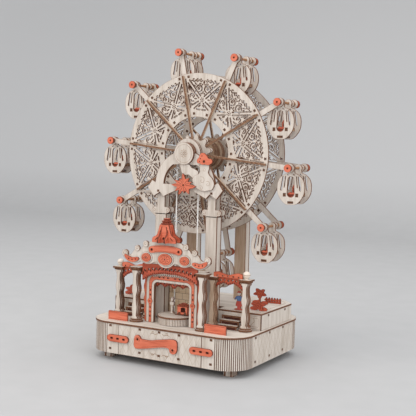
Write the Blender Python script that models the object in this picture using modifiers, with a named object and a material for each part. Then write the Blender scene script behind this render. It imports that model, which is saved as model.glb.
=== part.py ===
"""Wooden ferris wheel: a laser-cut plywood kit on a box base with a gate, a stage and a crank drive.

Frame: metres, +Z up, front towards -Y, origin at the middle of the footprint on the standing surface.
"""

from math import acos, asin, atan2, cos, pi, radians, sin

import bmesh
import bpy
from mathutils import Matrix, Vector

MM = 0.001

# Sheet, clearances
PLY = 2.0 * MM
SEAT = 0.3 * MM
RUNNING = 0.8 * MM
BITE = 0.2 * MM
WELD = 0.00002

# Wheel
GONDOLAS = 10
PIN_RADIUS = 125.0 * MM
FIRST_PIN_ANGLE = radians(-6.25)
CABIN_CLEARANCE = 15.4 * MM
WHEEL_BEHIND_FRONT = 97.9 * MM
ARM_HALF_GAP = 19.5 * MM
DISC_RADIUS = 96.0 * MM
DISC_BAND = 7.5 * MM
HOLE_RADIUS = 41.5 * MM
HOLE_BAND = 7.0 * MM
FIN_HEIGHT = 3.0 * MM
FIN_THICKNESS = 2.4 * MM
STAR_VALLEY = 19.0 * MM
STAR_LOBE = 25.0 * MM
DRUM_RADIUS = 17.0 * MM
AXLE_RADIUS = 2.0 * MM
ARM_WIDTH = 6.6 * MM
EAR_RADIUS = 5.3 * MM
PIN_SHAFT = 1.5 * MM
PIN_COLLAR = 3.2 * MM
PIN_CAP_RADIUS = 4.6 * MM
PIN_CAP_THICKNESS = 2.0 * MM
PIN_STAND_OUT = 4.4 * MM

# Gondola, measured from its axle
CABIN_FRONT_FROM_MIDDLE = -17.0 * MM
CABIN_DEPTH = 22.0 * MM
CABIN_HALF_WIDTH = 17.2 * MM
CABIN_HEIGHT = 42.3 * MM
CABIN_EAR = 4.6 * MM
DOOR_HALF_WIDTH = 4.6 * MM
SEAT_WIDTH = 9.0 * MM
SEAT_TAB = 4.7 * MM

# Base
BASE_WIDTH = 210.0 * MM
BASE_DEPTH = 175.4 * MM
BASE_CORNER = 31.0 * MM
FOOT_HEIGHT = 9.5 * MM
FOOT_SIZE = 12.0 * MM
FOOT_INSET = 16.0 * MM
WALL_HEIGHT = 35.5 * MM
DECK_OVERHANG = 1.0 * MM
PANEL_HALF_WIDTH = 57.0 * MM
JOINT_PLATE_LENGTH = 30.4 * MM
JOINT_PLATE_WIDTH = 8.4 * MM
PLATFORM_HEIGHT = 20.0 * MM
PLATFORM_INSET = 2.0 * MM
PLATFORM_BEHIND_FRONT = 57.4 * MM
PLATFORM_CHAMFER = 18.0 * MM
PLATFORM_BACK_INSET = 15.0 * MM
STAIR_STEPS = 3
STAIR_TREAD = 5.5 * MM
BAY_HALF_WIDTH = 46.0 * MM
BAY_DEPTH = 15.5 * MM

# Bare signs on the deck
SIGN_X = 67.0 * MM
SIGN_WIDTH = 26.0 * MM
SIGN_HEIGHT = 9.0 * MM
SIGN_BEHIND_FRONT = 15.0 * MM

# Towers and brackets
TOWER_SIZE = 12.5 * MM
TOWER_X = 34.2 * MM
TOWER_FRONT_FROM_MIDDLE = 44.2 * MM
TOWER_CAP_BELOW_HUB = 65.5 * MM
CAP_SIZE = 16.4 * MM
CAP_HEIGHT = 9.0 * MM
NECK_SIZE = 8.0 * MM
BRACKET_RADIUS = 41.0 * MM
BRACKET_DROP = 38.0 * MM
BRACKET_BAND = 11.5 * MM
BRACKET_THICKNESS = 4.0 * MM
BOSS_RADIUS = 12.5 * MM
FLOWER_HALF_WIDTH = 19.0 * MM
FLOWER_HALF_HEIGHT = 14.0 * MM
FLOWER_X = 1.0 * MM
BELL_X = 27.5 * MM

# Belt drive and crank
BELT_RADIUS = 0.8 * MM
PULLEY_GROOVE = 14.2 * MM
PULLEY_FLANGE = 18.0 * MM
DRIVE_FLANGE = 16.2 * MM
PULLEY_WIDTH = 5.2 * MM
BELT_BEFORE_MIDDLE = 41.0 * MM
DRIVE_HEIGHT = 28.0 * MM
GEAR_MODULE = 1.0 * MM
GEAR_BACKLASH = 0.3 * MM
GEAR_TEETH = 28
PINION_TEETH = 10
GEAR_THICKNESS = 4.0 * MM
GEAR_BEFORE_BACK = 32.0 * MM
CRANK_ARM = 16.0 * MM
CRANK_SHAFT_RADIUS = 2.0 * MM
KNOB_RADIUS = 3.6 * MM
KNOB_LENGTH = 9.0 * MM

# Stage
STAGE_RADIUS = 22.5 * MM
STAGE_HEIGHT = 10.5 * MM
STAGE_BEHIND_FRONT = 37.7 * MM
STAGE_SHAFT = 2.2 * MM
FRICTION_RADIUS = 8.0 * MM
FRICTION_TRACK = 9.0 * MM
FRICTION_DISC = 12.0 * MM

# Gate
ARCH_BEHIND_FRONT = 27.4 * MM
ARCH_HALF_WIDTH = 34.9 * MM
ARCH_OPENING = 24.6 * MM
ARCH_HEIGHT = 61.0 * MM
ARCH_OPENING_HEIGHT = 49.0 * MM
ARCH_CORNER = 13.0 * MM
COLUMN_X = 45.5 * MM
COLUMN_FRONT = 19.9 * MM
COLUMN_REAR = 46.4 * MM
OUTER_COLUMN_X = 88.0 * MM
COLUMN_HEIGHT = 66.0 * MM
REAR_COLUMN_HEIGHT = 60.0 * MM
COLUMN_BASE = 8.2 * MM
COLUMN_LAYERS = 3
COLUMN_CAP = 7.0 * MM
PEDIMENT_HALF_WIDTH = 60.0 * MM
PEDIMENT_HEIGHT = 32.0 * MM
ROOM_HEIGHT = 62.0 * MM

# Places that follow from the sizes
FRONT_REACH = BASE_DEPTH / 2 + SEAT + PLY
BACK_REACH = BASE_DEPTH / 2 + DECK_OVERHANG + RUNNING + 2 * PLY + SEAT + KNOB_LENGTH
BASE_Y = (FRONT_REACH - BACK_REACH) / 2
FRONT = BASE_Y - BASE_DEPTH / 2
BACK = BASE_Y + BASE_DEPTH / 2
WHEEL_Y = FRONT + WHEEL_BEHIND_FRONT
DECK_BOTTOM = FOOT_HEIGHT + WALL_HEIGHT + SEAT
DECK_TOP = DECK_BOTTOM + PLY
PLATFORM_TOP = DECK_TOP + PLATFORM_HEIGHT
PLATFORM_FRONT = FRONT + PLATFORM_BEHIND_FRONT
HUB_HEIGHT = PLATFORM_TOP + CABIN_CLEARANCE + CABIN_HEIGHT + PIN_RADIUS
DISC_INNER = ARM_HALF_GAP + PLY
FIN_INNER = DISC_INNER + PLY + SEAT
BELT_Y = WHEEL_Y - BELT_BEFORE_MIDDLE
TOWER_Y = WHEEL_Y - TOWER_FRONT_FROM_MIDDLE + TOWER_SIZE / 2
BRACKET_INNER = TOWER_FRONT_FROM_MIDDLE + SEAT
SECTOR = 2 * pi / GONDOLAS
PEDIMENT_Y = FRONT + COLUMN_FRONT - COLUMN_CAP - SEAT - PLY / 2
GEAR_Y = BACK - GEAR_BEFORE_BACK

BIRCH = ("birch", (0.86, 0.74, 0.58), 0.65)
BURNT = ("birch_edge", (0.45, 0.27, 0.14), 0.7)
CORAL = ("coral_ply", (0.86, 0.26, 0.13), 0.55)
WHITE = ("belt_cord", (0.92, 0.92, 0.9), 0.6)
DOWEL = ("dowel", (0.62, 0.42, 0.24), 0.6)
PRINT = ("printed_ply", (0.55, 0.35, 0.5), 0.6)


def make_collection(name):
    """Return a new collection of the scene."""
    collection = bpy.data.collections.new(name)
    bpy.context.scene.collection.children.link(collection)
    return collection


def make_material(finish):
    """Return the Principled material of a finish, made once."""
    name, colour, roughness = finish
    found = bpy.data.materials.get(name)
    if found:
        return found
    material = bpy.data.materials.new(name)
    material.use_nodes = True
    shader = material.node_tree.nodes["Principled BSDF"]
    shader.inputs["Base Color"].default_value = (*colour, 1.0)
    shader.inputs["Roughness"].default_value = roughness
    shader.inputs["Metallic"].default_value = 0.0
    return material


def world_mesh(obj):
    """Return the welded mesh of an object in world space, and remove the object."""
    bpy.context.view_layer.update()
    graph = bpy.context.evaluated_depsgraph_get()
    mesh = bpy.data.meshes.new_from_object(obj.evaluated_get(graph))
    mesh.transform(obj.matrix_world)
    bm = bmesh.new()
    bm.from_mesh(mesh)
    bmesh.ops.remove_doubles(bm, verts=bm.verts, dist=WELD)
    bm.to_mesh(mesh)
    bm.free()
    bpy.data.objects.remove(obj)
    return mesh


def named(name, mesh, finish, axis=None, smooth=False):
    """Add one named object, with its origin on its axis."""
    origin = Vector(axis.location) if axis else Vector((0, 0, 0))
    mesh.name = name
    mesh.transform(Matrix.Translation(-origin))
    mesh.materials.clear()
    mesh.materials.append(make_material(finish))
    if smooth:
        mesh.shade_smooth()
        mesh.set_sharp_from_angle(angle=radians(35))
    obj = bpy.data.objects.new(name, mesh)
    PARTS.objects.link(obj)
    if axis:
        obj.parent = axis
    return obj


def add_axis(name, location):
    """Add an empty that stands on a joint's axis."""
    empty = bpy.data.objects.new(name, None)
    empty.empty_display_size = 0.01
    empty.location = location
    PARTS.objects.link(empty)
    return empty


FACING = {"front": (pi / 2, 0, 0), "side": (pi / 2, 0, pi / 2), "flat": (0, 0, 0)}


def sheet(loops, at, facing="front", thickness=None):
    """Return the mesh of a flat cut: outlines and holes, extruded about its middle plane."""
    curve = bpy.data.curves.new("sheet", "CURVE")
    curve.dimensions = "2D"
    curve.fill_mode = "BOTH"
    curve.extrude = (PLY if thickness is None else thickness) / 2
    for loop in loops:
        spline = curve.splines.new("POLY")
        spline.points.add(len(loop) - 1)
        for point, (x, y) in zip(spline.points, loop):
            point.co = (x, y, 0, 1)
        spline.use_cyclic_u = True
    obj = bpy.data.objects.new("sheet", curve)
    obj.location = at
    obj.rotation_euler = FACING[facing]
    PARTS.objects.link(obj)
    return world_mesh(obj)


def turned(profile, at, direction="up", segments=24, closed=False):
    """Return the mesh of a turned piece: profile of (radius, height) down its outer side."""
    mesh = bpy.data.meshes.new("profile")
    edges = [(i, i + 1) for i in range(len(profile) - 1)]
    if closed:
        edges.append((len(profile) - 1, 0))
    mesh.from_pydata([(r, 0, h) for r, h in profile], edges, [])
    obj = bpy.data.objects.new("turned", mesh)
    obj.location = at
    if direction == "back":
        obj.rotation_euler = (-pi / 2, 0, 0)
    PARTS.objects.link(obj)
    screw = obj.modifiers.new("turn", "SCREW")
    screw.steps = segments
    screw.render_steps = segments
    screw.use_merge_vertices = True
    screw.merge_threshold = WELD
    return world_mesh(obj)


def block(low, high):
    """Return the mesh of a box between two corners."""
    bm = bmesh.new()
    bmesh.ops.create_cube(bm, size=1.0)
    size = [b - a for a, b in zip(low, high)]
    middle = [(a + b) / 2 for a, b in zip(low, high)]
    bmesh.ops.scale(bm, vec=size, verts=bm.verts)
    bmesh.ops.translate(bm, vec=middle, verts=bm.verts)
    mesh = bpy.data.meshes.new("block")
    bm.to_mesh(mesh)
    bm.free()
    return mesh


def moved(mesh, matrix):
    """Return a moved copy of a mesh."""
    copy = mesh.copy()
    copy.transform(matrix)
    return copy


def combine(mesh, others, operation):
    """Return a mesh joined with, or cut by, other meshes."""
    body = bpy.data.objects.new("body", mesh)
    PARTS.objects.link(body)
    for other in others:
        tool = bpy.data.objects.new("tool", other)
        tool.hide_render = True
        tool.display_type = "WIRE"
        CUTTERS.objects.link(tool)
        modifier = body.modifiers.new(operation.lower(), "BOOLEAN")
        modifier.operation = operation
        modifier.object = tool
    result = world_mesh(body)
    for tool in list(CUTTERS.objects):
        bpy.data.objects.remove(tool)
    return result


def circle(x, y, radius, count, start=0.0):
    """Return a round outline."""
    return [(x + radius * cos(start + 2 * pi * i / count), y + radius * sin(start + 2 * pi * i / count))
            for i in range(count)]


def arc(x, y, radius, start, end, count):
    """Return the points of an arc in radians, both ends included."""
    step = (end - start) / count
    return [(x + radius * cos(start + step * i), y + radius * sin(start + step * i))
            for i in range(count + 1)]


def rect(left, bottom, right, top):
    """Return a rectangular outline."""
    return [(left, bottom), (right, bottom), (right, top), (left, top)]


def mirrored(right_half):
    """Return the closed outline whose right half runs from bottom to top, with no idle middle point."""
    levels = (right_half[1][1], right_half[-2][1])
    half = [(x, y) for x, y in right_half if abs(x) > WELD or min(abs(y - z) for z in levels) > WELD]
    return half + [(-x, y) for x, y in reversed(half) if abs(x) > WELD]


def crescent(x, y, radius, width, start, end, count):
    """Return a C-shaped slot that tapers towards both ends."""
    outer = arc(x, y, radius, start, end, count)
    step = (end - start) / count
    inner = [(x + (radius - width * sin(pi * i / count)) * cos(start + step * i),
              y + (radius - width * sin(pi * i / count)) * sin(start + step * i))
             for i in range(count - 1, 0, -1)]
    return outer + inner


def turn_points(points, angle, x=0.0, y=0.0):
    """Return points turned about the origin, then shifted."""
    return [(x + px * cos(angle) - py * sin(angle), y + px * sin(angle) + py * cos(angle))
            for px, py in points]


def shift_points(points, x, y):
    """Return shifted points."""
    return [(px + x, py + y) for px, py in points]


def rounded_box(half_x, half_y, radius, count=6):
    """Return a rectangle with round corners, from the middle of its front side."""
    points = []
    for sx, sy, start in ((1, -1, -pi / 2), (1, 1, 0), (-1, 1, pi / 2), (-1, -1, pi)):
        points += arc(sx * (half_x - radius), sy * (half_y - radius), radius, start, start + pi / 2, count)
    return points


def pin_angles():
    """Return the angle of each spoke from +X towards +Z."""
    return [FIRST_PIN_ANGLE + SECTOR * i for i in range(GONDOLAS)]


def pin_place(angle):
    """Return the world place of a gondola's axle in the wheel's middle plane."""
    return Vector((PIN_RADIUS * cos(angle), WHEEL_Y, HUB_HEIGHT + PIN_RADIUS * sin(angle)))


# Base

def wall_outline():
    """Return the wall that wraps the base from seam to seam, with its thickness."""
    half_x = BASE_WIDTH / 2
    half_y = BASE_DEPTH / 2
    seam = PANEL_HALF_WIDTH + SEAT
    outer = [(seam, -half_y)] + rounded_box(half_x, half_y, BASE_CORNER) + [(-seam, -half_y)]
    inner = [(seam, PLY - half_y)]
    inner += rounded_box(half_x - PLY, half_y - PLY, BASE_CORNER - PLY)
    inner += [(-seam, PLY - half_y)]
    return shift_points(outer + inner[::-1], 0, BASE_Y)


def build_base():
    """Floor on its feet, walls, front panel and the deck with its two small signs."""
    wall_middle = FOOT_HEIGHT + WALL_HEIGHT / 2
    walls = sheet([wall_outline()], (0, 0, wall_middle), "flat", WALL_HEIGHT)
    bore = turned([(0, 0), (CRANK_SHAFT_RADIUS + RUNNING / 2, 0),
                   (CRANK_SHAFT_RADIUS + RUNNING / 2, -3 * PLY), (0, -3 * PLY)],
                  (crank_x(), BACK + PLY, DRIVE_HEIGHT), "back", 12)
    named("base_walls", combine(walls, [bore], "DIFFERENCE"), BIRCH)

    panel = rect(-PANEL_HALF_WIDTH, FOOT_HEIGHT, PANEL_HALF_WIDTH, FOOT_HEIGHT + WALL_HEIGHT)
    named("front_panel", sheet([panel], (0, FRONT + PLY / 2, 0)), BIRCH)
    build_floor()

    deck = rounded_box(BASE_WIDTH / 2 + DECK_OVERHANG, BASE_DEPTH / 2 + DECK_OVERHANG,
                       BASE_CORNER + DECK_OVERHANG)
    slot = BELT_RADIUS + 2 * RUNNING
    run_x = PULLEY_GROOVE + BELT_RADIUS
    cuts = [circle(0, FRONT + STAGE_BEHIND_FRONT, STAGE_SHAFT + RUNNING, 12)]
    for side in (-1, 1):
        cuts.append(rect(side * run_x - slot, BELT_Y - slot, side * run_x + slot, BELT_Y + slot))
    plate = sheet([shift_points(deck, 0, BASE_Y)] + cuts, (0, 0, DECK_BOTTOM + PLY / 2), "flat")
    half = SIGN_WIDTH / 2
    signs = sheet([rect(side * SIGN_X - half, DECK_TOP - BITE, side * SIGN_X + half, DECK_TOP + SIGN_HEIGHT)
                   for side in (-1, 1)], (0, FRONT + SIGN_BEHIND_FRONT, 0))
    named("deck", combine(plate, [signs], "UNION"), BIRCH)


def build_floor():
    """Floor plate inside the walls, with the four feet under it."""
    inside = PLY + SEAT
    plan = rounded_box(BASE_WIDTH / 2 - inside, BASE_DEPTH / 2 - inside, BASE_CORNER - inside)
    floor = sheet([shift_points(plan, 0, BASE_Y)], (0, 0, FOOT_HEIGHT + PLY / 2), "flat")
    feet = []
    half = FOOT_SIZE / 2
    for sx in (-1, 1):
        for sy in (-1, 1):
            x = sx * (BASE_WIDTH / 2 - FOOT_INSET - half)
            y = BASE_Y + sy * (BASE_DEPTH / 2 - FOOT_INSET - half)
            feet.append(block((x - half, y - half, 0), (x + half, y + half, FOOT_HEIGHT + BITE)))
    named("base_floor", combine(floor, feet, "UNION"), BURNT)


def stadium(half_length, half_width, count=5):
    """Return a strip outline with round ends."""
    straight = half_length - half_width
    return (arc(straight, 0, half_width, -pi / 2, pi / 2, count)
            + arc(-straight, 0, half_width, pi / 2, 3 * pi / 2, count))


def banner_outline():
    """Return the scroll banner: a waved strip whose ends roll up and down."""
    top = [(-32, 11), (-25, 12), (-21, 8), (-12, 4), (0, 5), (12, 9), (22, 12), (29, 12), (30, 4)]
    bottom = [(30, -8), (27, -11), (21, -10), (20, -2), (8, -5), (-6, -11), (-18, -12), (-31, -10)]
    return [(x * MM, y * MM) for x, y in (top + bottom)[::-1]]


def build_front_plates():
    """Coral joint plates over the seams, and the bare scroll banner."""
    y = FRONT - SEAT - PLY / 2
    z = FOOT_HEIGHT + WALL_HEIGHT * 0.53
    for row, side in (("left", -1), ("right", 1)):
        strip = shift_points(stadium(JOINT_PLATE_LENGTH / 2, JOINT_PLATE_WIDTH / 2), side * PANEL_HALF_WIDTH, z)
        named(f"joint_plate_{row}", sheet([strip], (0, y, 0)), CORAL)
    banner = shift_points(banner_outline(), -4.0 * MM, z)
    named("front_banner", sheet([banner], (0, y, 0)), CORAL)


def platform_outline(inset):
    """Return the raised platform's plan: cut corners behind, a bay for the gate's room in front."""
    side = BASE_WIDTH / 2 - PLATFORM_INSET - inset
    front = PLATFORM_FRONT + inset
    back = BACK - PLATFORM_BACK_INSET - inset
    bay = BAY_HALF_WIDTH + inset
    bay_back = PLATFORM_FRONT + BAY_DEPTH + inset
    cut = PLATFORM_CHAMFER
    return [(bay, front), (side, front), (side, back - cut), (side - cut, back), (cut - side, back),
            (-side, back - cut), (-side, front), (-bay, front), (-bay, bay_back), (bay, bay_back)]


def build_platform():
    """Raised rear platform with its fence and flowers, and the stairs on both sides of the gate."""
    bottom = DECK_TOP + SEAT
    top = PLATFORM_TOP - PLY + BITE
    ring = [platform_outline(0), platform_outline(PLY)]
    walls = sheet(ring, (0, 0, (bottom + top) / 2), "flat", top - bottom)
    lid = sheet([platform_outline(0)], (0, 0, PLATFORM_TOP - PLY / 2), "flat")
    named("platform", combine(lid, [walls] + garden_meshes(), "UNION"), BIRCH)

    steps = STAIR_STEPS
    rise = (PLATFORM_HEIGHT - SEAT) / (steps + 1)
    tread = STAIR_TREAD
    profile = [(PLATFORM_FRONT - SEAT, bottom)]
    for i in range(steps, 0, -1):
        y = PLATFORM_FRONT - SEAT - tread * (steps - i)
        profile += [(y, bottom + rise * i), (y - tread, bottom + rise * i)]
    profile.append((profile[-1][0], bottom))
    width = OUTER_COLUMN_X - COLUMN_X - 2 * COLUMN_BASE - 2 * SEAT
    middle = (OUTER_COLUMN_X + COLUMN_X) / 2
    for row, side in (("left", -1), ("right", 1)):
        named(f"stairs_{row}", sheet([profile], (side * middle, 0, 0), "side", width), BIRCH)


def garden_meshes():
    """Return the picket fences and the flower plates that stand on the platform."""
    foot = PLATFORM_TOP - BITE
    side_x = BASE_WIDTH / 2 - PLATFORM_INSET - 8 * MM
    fence_y = PLATFORM_FRONT + 40 * MM
    pickets = [(22, 0)]
    for i in range(4):
        x = 22 - 6 * i
        pickets += [(x, 6.6), (x - 2, 8.2), (x - 4, 6.6), (x - 4, 3), (x - 6, 3)]
    fence = [scaled(pickets[:-1] + [(0, 0)], 0, foot)]
    meshes = [sheet(fence, (side * (side_x - 11 * MM) - 11 * MM, fence_y, 0)) for side in (-1, 1)]
    petals = []
    for i in range(10):
        turn = 2 * pi * i / 10 - pi / 2
        reach = 0.6 if i % 2 else 1.0
        petals.append((9 * MM * reach * cos(turn), 7 * MM * reach * sin(turn)))
    for side in (-1, 1):
        for step in (10, 24):
            bloom = shift_points(petals, side * (side_x - step * 0.6 * MM), foot + 6 * MM)
            meshes.append(sheet([bloom], (0, PLATFORM_FRONT + step * MM, 0)))
    return meshes


# Towers, brackets and the ornaments on the front bracket

def build_towers():
    """Four square posts with capital and neck, two in front of the wheel and two behind it."""
    for row, sy in (("front", -1), ("rear", 1)):
        y = WHEEL_Y + sy * (WHEEL_Y - TOWER_Y)
        foot = (DECK_TOP if sy < 0 else PLATFORM_TOP) + SEAT
        for place, sx in (("left", -1), ("right", 1)):
            named(f"tower_{row}_{place}", tower_mesh(sx * TOWER_X, y, foot), BIRCH)


def tower_mesh(x, y, foot):
    """Return one post: a square shaft, a capital of two plates and the neck that the bracket lies on."""
    half = TOWER_SIZE / 2
    cap_half = CAP_SIZE / 2
    top = HUB_HEIGHT - TOWER_CAP_BELOW_HUB
    slab = CAP_HEIGHT / 2
    post = block((x - half, y - half, foot), (x + half, y + half, top - CAP_HEIGHT + BITE))
    low = block((x - half - MM, y - half, top - CAP_HEIGHT), (x + half + MM, y + half, top - slab + BITE))
    high = block((x - cap_half, y - half, top - slab), (x + cap_half, y + half, top))
    neck = block((x - NECK_SIZE / 2, y - half, top - BITE),
                 (x + NECK_SIZE / 2, y + half, HUB_HEIGHT - BRACKET_DROP - 4 * MM))
    return combine(post, [low, high, neck], "UNION")


def bracket_half():
    """Return the right half of the hub bracket's outline, bottom to top, about the hub."""
    drop = -BRACKET_DROP
    foot_x = TOWER_X + NECK_SIZE / 2
    points = [(0, drop - 7 * MM), (foot_x - 13 * MM, drop - 12 * MM), (foot_x - 3 * MM, drop - 15 * MM),
              (foot_x + 5 * MM, drop - 15 * MM), (foot_x + 14 * MM, drop - 6 * MM)]
    meet = acos(BOSS_RADIUS * 0.9 / BRACKET_RADIUS)
    points += arc(0, drop, BRACKET_RADIUS, 0, meet, 8)
    start = atan2(points[-1][1], points[-1][0])
    points += arc(0, 0, BOSS_RADIUS, start, pi / 2, 4)
    return points


def bracket_window():
    """Return the right half of the bracket's window, bottom to top."""
    drop = -BRACKET_DROP
    inner = BRACKET_RADIUS - BRACKET_BAND
    limit = asin((BRACKET_DROP - BOSS_RADIUS - 2 * MM) / inner)
    points = [(0, drop + 6 * MM), (inner - 4 * MM, drop + 1 * MM)]
    points += arc(0, drop, inner, radians(4), limit, 5)
    points.append((0, -BOSS_RADIUS - 2 * MM))
    return points


def build_brackets():
    """Front and rear hub brackets, each bored for the main axle, and the round boss on each."""
    bore = circle(0, 0, AXLE_RADIUS + SEAT, 16)
    loops = [shift_points(loop, 0, HUB_HEIGHT)
             for loop in (mirrored(bracket_half()), mirrored(bracket_window()), bore)]
    face = circle(0, HUB_HEIGHT, BOSS_RADIUS - SEAT, 16)
    for row, side in (("front", -1), ("rear", 1)):
        y = WHEEL_Y + side * (BRACKET_INNER + BRACKET_THICKNESS / 2)
        bracket = sheet(loops, (0, y, 0), "front", BRACKET_THICKNESS)
        y = WHEEL_Y + side * (BRACKET_INNER + BRACKET_THICKNESS - BITE + PLY / 2)
        named(f"bracket_{row}", combine(bracket, [sheet([face], (0, y, 0))], "UNION"), BIRCH)


def flower_outline():
    """Return a poinsettia outline of pointed petals, wider than high."""
    petals = 11
    points = []
    for i in range(petals):
        tip = pi / 2 + 2 * pi * i / petals
        valley = tip + pi / petals
        points.append((FLOWER_HALF_WIDTH * cos(tip), FLOWER_HALF_HEIGHT * sin(tip)))
        points.append((FLOWER_HALF_WIDTH * 0.55 * cos(valley), FLOWER_HALF_HEIGHT * 0.6 * sin(valley)))
    return points


def bell_half():
    """Return the right half of the bell ornament, bottom to top, about its middle."""
    return [(0, -21), (13, -20), (17.5, -13), (17, -4), (12, 3), (8, 7), (6.5, 13), (6, 19), (0, 19)]


def cap_half():
    """Return the right half of the bell's scalloped coral cap, bottom to top."""
    return [(0, -5.5), (6, -6.5), (10, -3.5), (9, 1), (7, 4), (3.5, 6), (0, 6.5)]


def scaled(points, x=0.0, y=0.0, size=MM):
    """Return points in millimetres as metres, shifted."""
    return [(px * size + x, py * size + y) for px, py in points]


def build_bracket_ornaments():
    """Coral flower, pale bell and its coral cap, layered on the front bracket."""
    face = WHEEL_Y - BRACKET_INNER - BRACKET_THICKNESS
    bell_y = face - SEAT - PLY / 2
    bell_x = BELL_X
    bell_z = HUB_HEIGHT - 30.0 * MM
    bell = mirrored(scaled(bell_half()))
    plate = sheet([shift_points(bell, bell_x, bell_z)], (0, bell_y, 0))
    cap = mirrored(scaled(cap_half()))
    cap_hole = circle(bell_x, bell_z + 21.5 * MM, 1.6 * MM, 8)
    cap_loops = [shift_points(cap, bell_x, bell_z + 21.5 * MM), cap_hole]
    cap_y = face - SEAT - PLY - PLY / 2 + BITE
    named("bracket_bell", combine(plate, [sheet(cap_loops, (0, cap_y, 0))], "UNION"), BIRCH)
    flower = shift_points(flower_outline(), FLOWER_X, HUB_HEIGHT - BRACKET_DROP - 0.5 * MM)
    named("bracket_flower", sheet([flower], (0, bell_y - PLY - SEAT, 0)), CORAL)


# Gate: columns, arch, pediment, valances and the room behind the stage

def baluster(height, waist):
    """Return a baluster outline from its foot at zero to its height."""
    shape = ((0.0, 1.25), (0.05, 1.25), (0.08, 0.85), (0.22, 1.05), (0.4, 0.8), (0.5, 0.75), (0.62, 1.1),
             (0.72, 0.8), (0.9, 0.85), (0.94, 1.25), (1.0, 1.25))
    right = [(waist * wide, height * up) for up, wide in shape]
    right[0] = (right[0][0], -BITE)
    right[-1] = (right[-1][0], height + BITE)
    return mirrored(right)


def column_meshes(x, y, foot, height):
    """Return the pieces of a column: a stepped round base, a layered baluster and a capital."""
    low = foot + 2 * PLY
    shaft = height - 4 * PLY
    outline = shift_points(baluster(shaft, 4.4 * MM), x, low)
    step = COLUMN_BASE - MM
    base = turned([(0, 2 * PLY), (step, 2 * PLY), (step, PLY), (COLUMN_BASE, PLY), (COLUMN_BASE, 0), (0, 0)],
                  (x, y, foot), "up", 10)
    top = low + shaft
    half = COLUMN_CAP
    return [base, sheet([outline], (0, y, 0), "front", COLUMN_LAYERS * PLY),
            block((x - half + MM, y - half + MM, top), (x + half - MM, y + half - MM, top + PLY + BITE)),
            block((x - half, y - half, top + PLY), (x + half, y + half, top + 2 * PLY))]


def build_columns():
    """Front pair of columns, and beside the stairs the rear columns joined by a rail and valance."""
    foot = DECK_TOP + SEAT
    for row, side in (("left", -1), ("right", 1)):
        front = column_meshes(side * COLUMN_X, FRONT + COLUMN_FRONT, foot, COLUMN_HEIGHT)
        named(f"column_front_{row}", combine(front[0], front[1:], "UNION"), BIRCH)

        y = FRONT + COLUMN_REAR
        pieces = []
        for x in (COLUMN_X, OUTER_COLUMN_X):
            pieces += column_meshes(side * x, y, foot, REAR_COLUMN_HEIGHT)
        top = foot + REAR_COLUMN_HEIGHT
        rail = drape(side * COLUMN_X, side * OUTER_COLUMN_X, top + 5 * MM, (5.2, 5.2))
        lace = drape(side * (COLUMN_X + COLUMN_CAP - BITE), side * (OUTER_COLUMN_X - COLUMN_CAP + BITE),
                     top + BITE, (16, 11, 8, 11, 8, 11, 16))
        pieces += [sheet([rail], (0, y, 0)), sheet([lace], (0, y, 0))]
        named(f"side_gate_{row}", combine(pieces[0], pieces[1:], "UNION"), BIRCH)


def doorway(half_width, height, corner, count=5):
    """Return the right half of a door outline with round top corners."""
    return [(half_width, 0)] + arc(half_width - corner, height - corner, corner, 0, pi / 2, count)


def door_frame(outer, inner):
    """Return a door frame open at the floor, as one outline, from its two right halves."""
    right = outer + [(-x, y) for x, y in reversed(outer)]
    left = [(-x, y) for x, y in inner] + [(x, y) for x, y in reversed(inner)]
    return right + left


def build_arch():
    """Entrance arch, and the coral frame with wavy curtain edges laid on it."""
    foot = DECK_TOP + SEAT
    y = FRONT + ARCH_BEHIND_FRONT + PLY / 2
    frame = door_frame(doorway(ARCH_HALF_WIDTH, ARCH_HEIGHT, ARCH_CORNER),
                       doorway(ARCH_OPENING, ARCH_OPENING_HEIGHT, 5 * MM))
    named("gate_arch", sheet([shift_points(frame, 0, foot)], (0, y, 0)), BIRCH)
    inset = 3.0 * MM
    edge = ARCH_HALF_WIDTH - MM
    waves = [(edge + x * MM, z * MM) for x, z in ((2.2, 0), (1, 8), (3, 16), (1.2, 25), (3, 33), (1.2, 42))]
    outer = waves + doorway(ARCH_HALF_WIDTH - inset, ARCH_HEIGHT - inset, ARCH_CORNER - inset)[1:]
    overlay = door_frame(outer, doorway(ARCH_OPENING + inset, ARCH_OPENING_HEIGHT + inset, 5 * MM))
    named("arch_overlay", sheet([shift_points(overlay, 0, foot)], (0, y - PLY - SEAT, 0)), CORAL)


def pediment_half():
    """Return the right half of the pediment, bottom to top, in millimetres about its foot."""
    return [(0, -5), (8, -4), (16, 1), (28, 3), (40, -1), (52, -2), (58, 1), (61, 6), (60, 10), (56, 12),
            (52, 10), (49, 12), (46, 18), (41, 20), (36, 18), (34, 22), (31, 26), (26, 25), (22, 27),
            (20, 32), (0, 33)]


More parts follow.
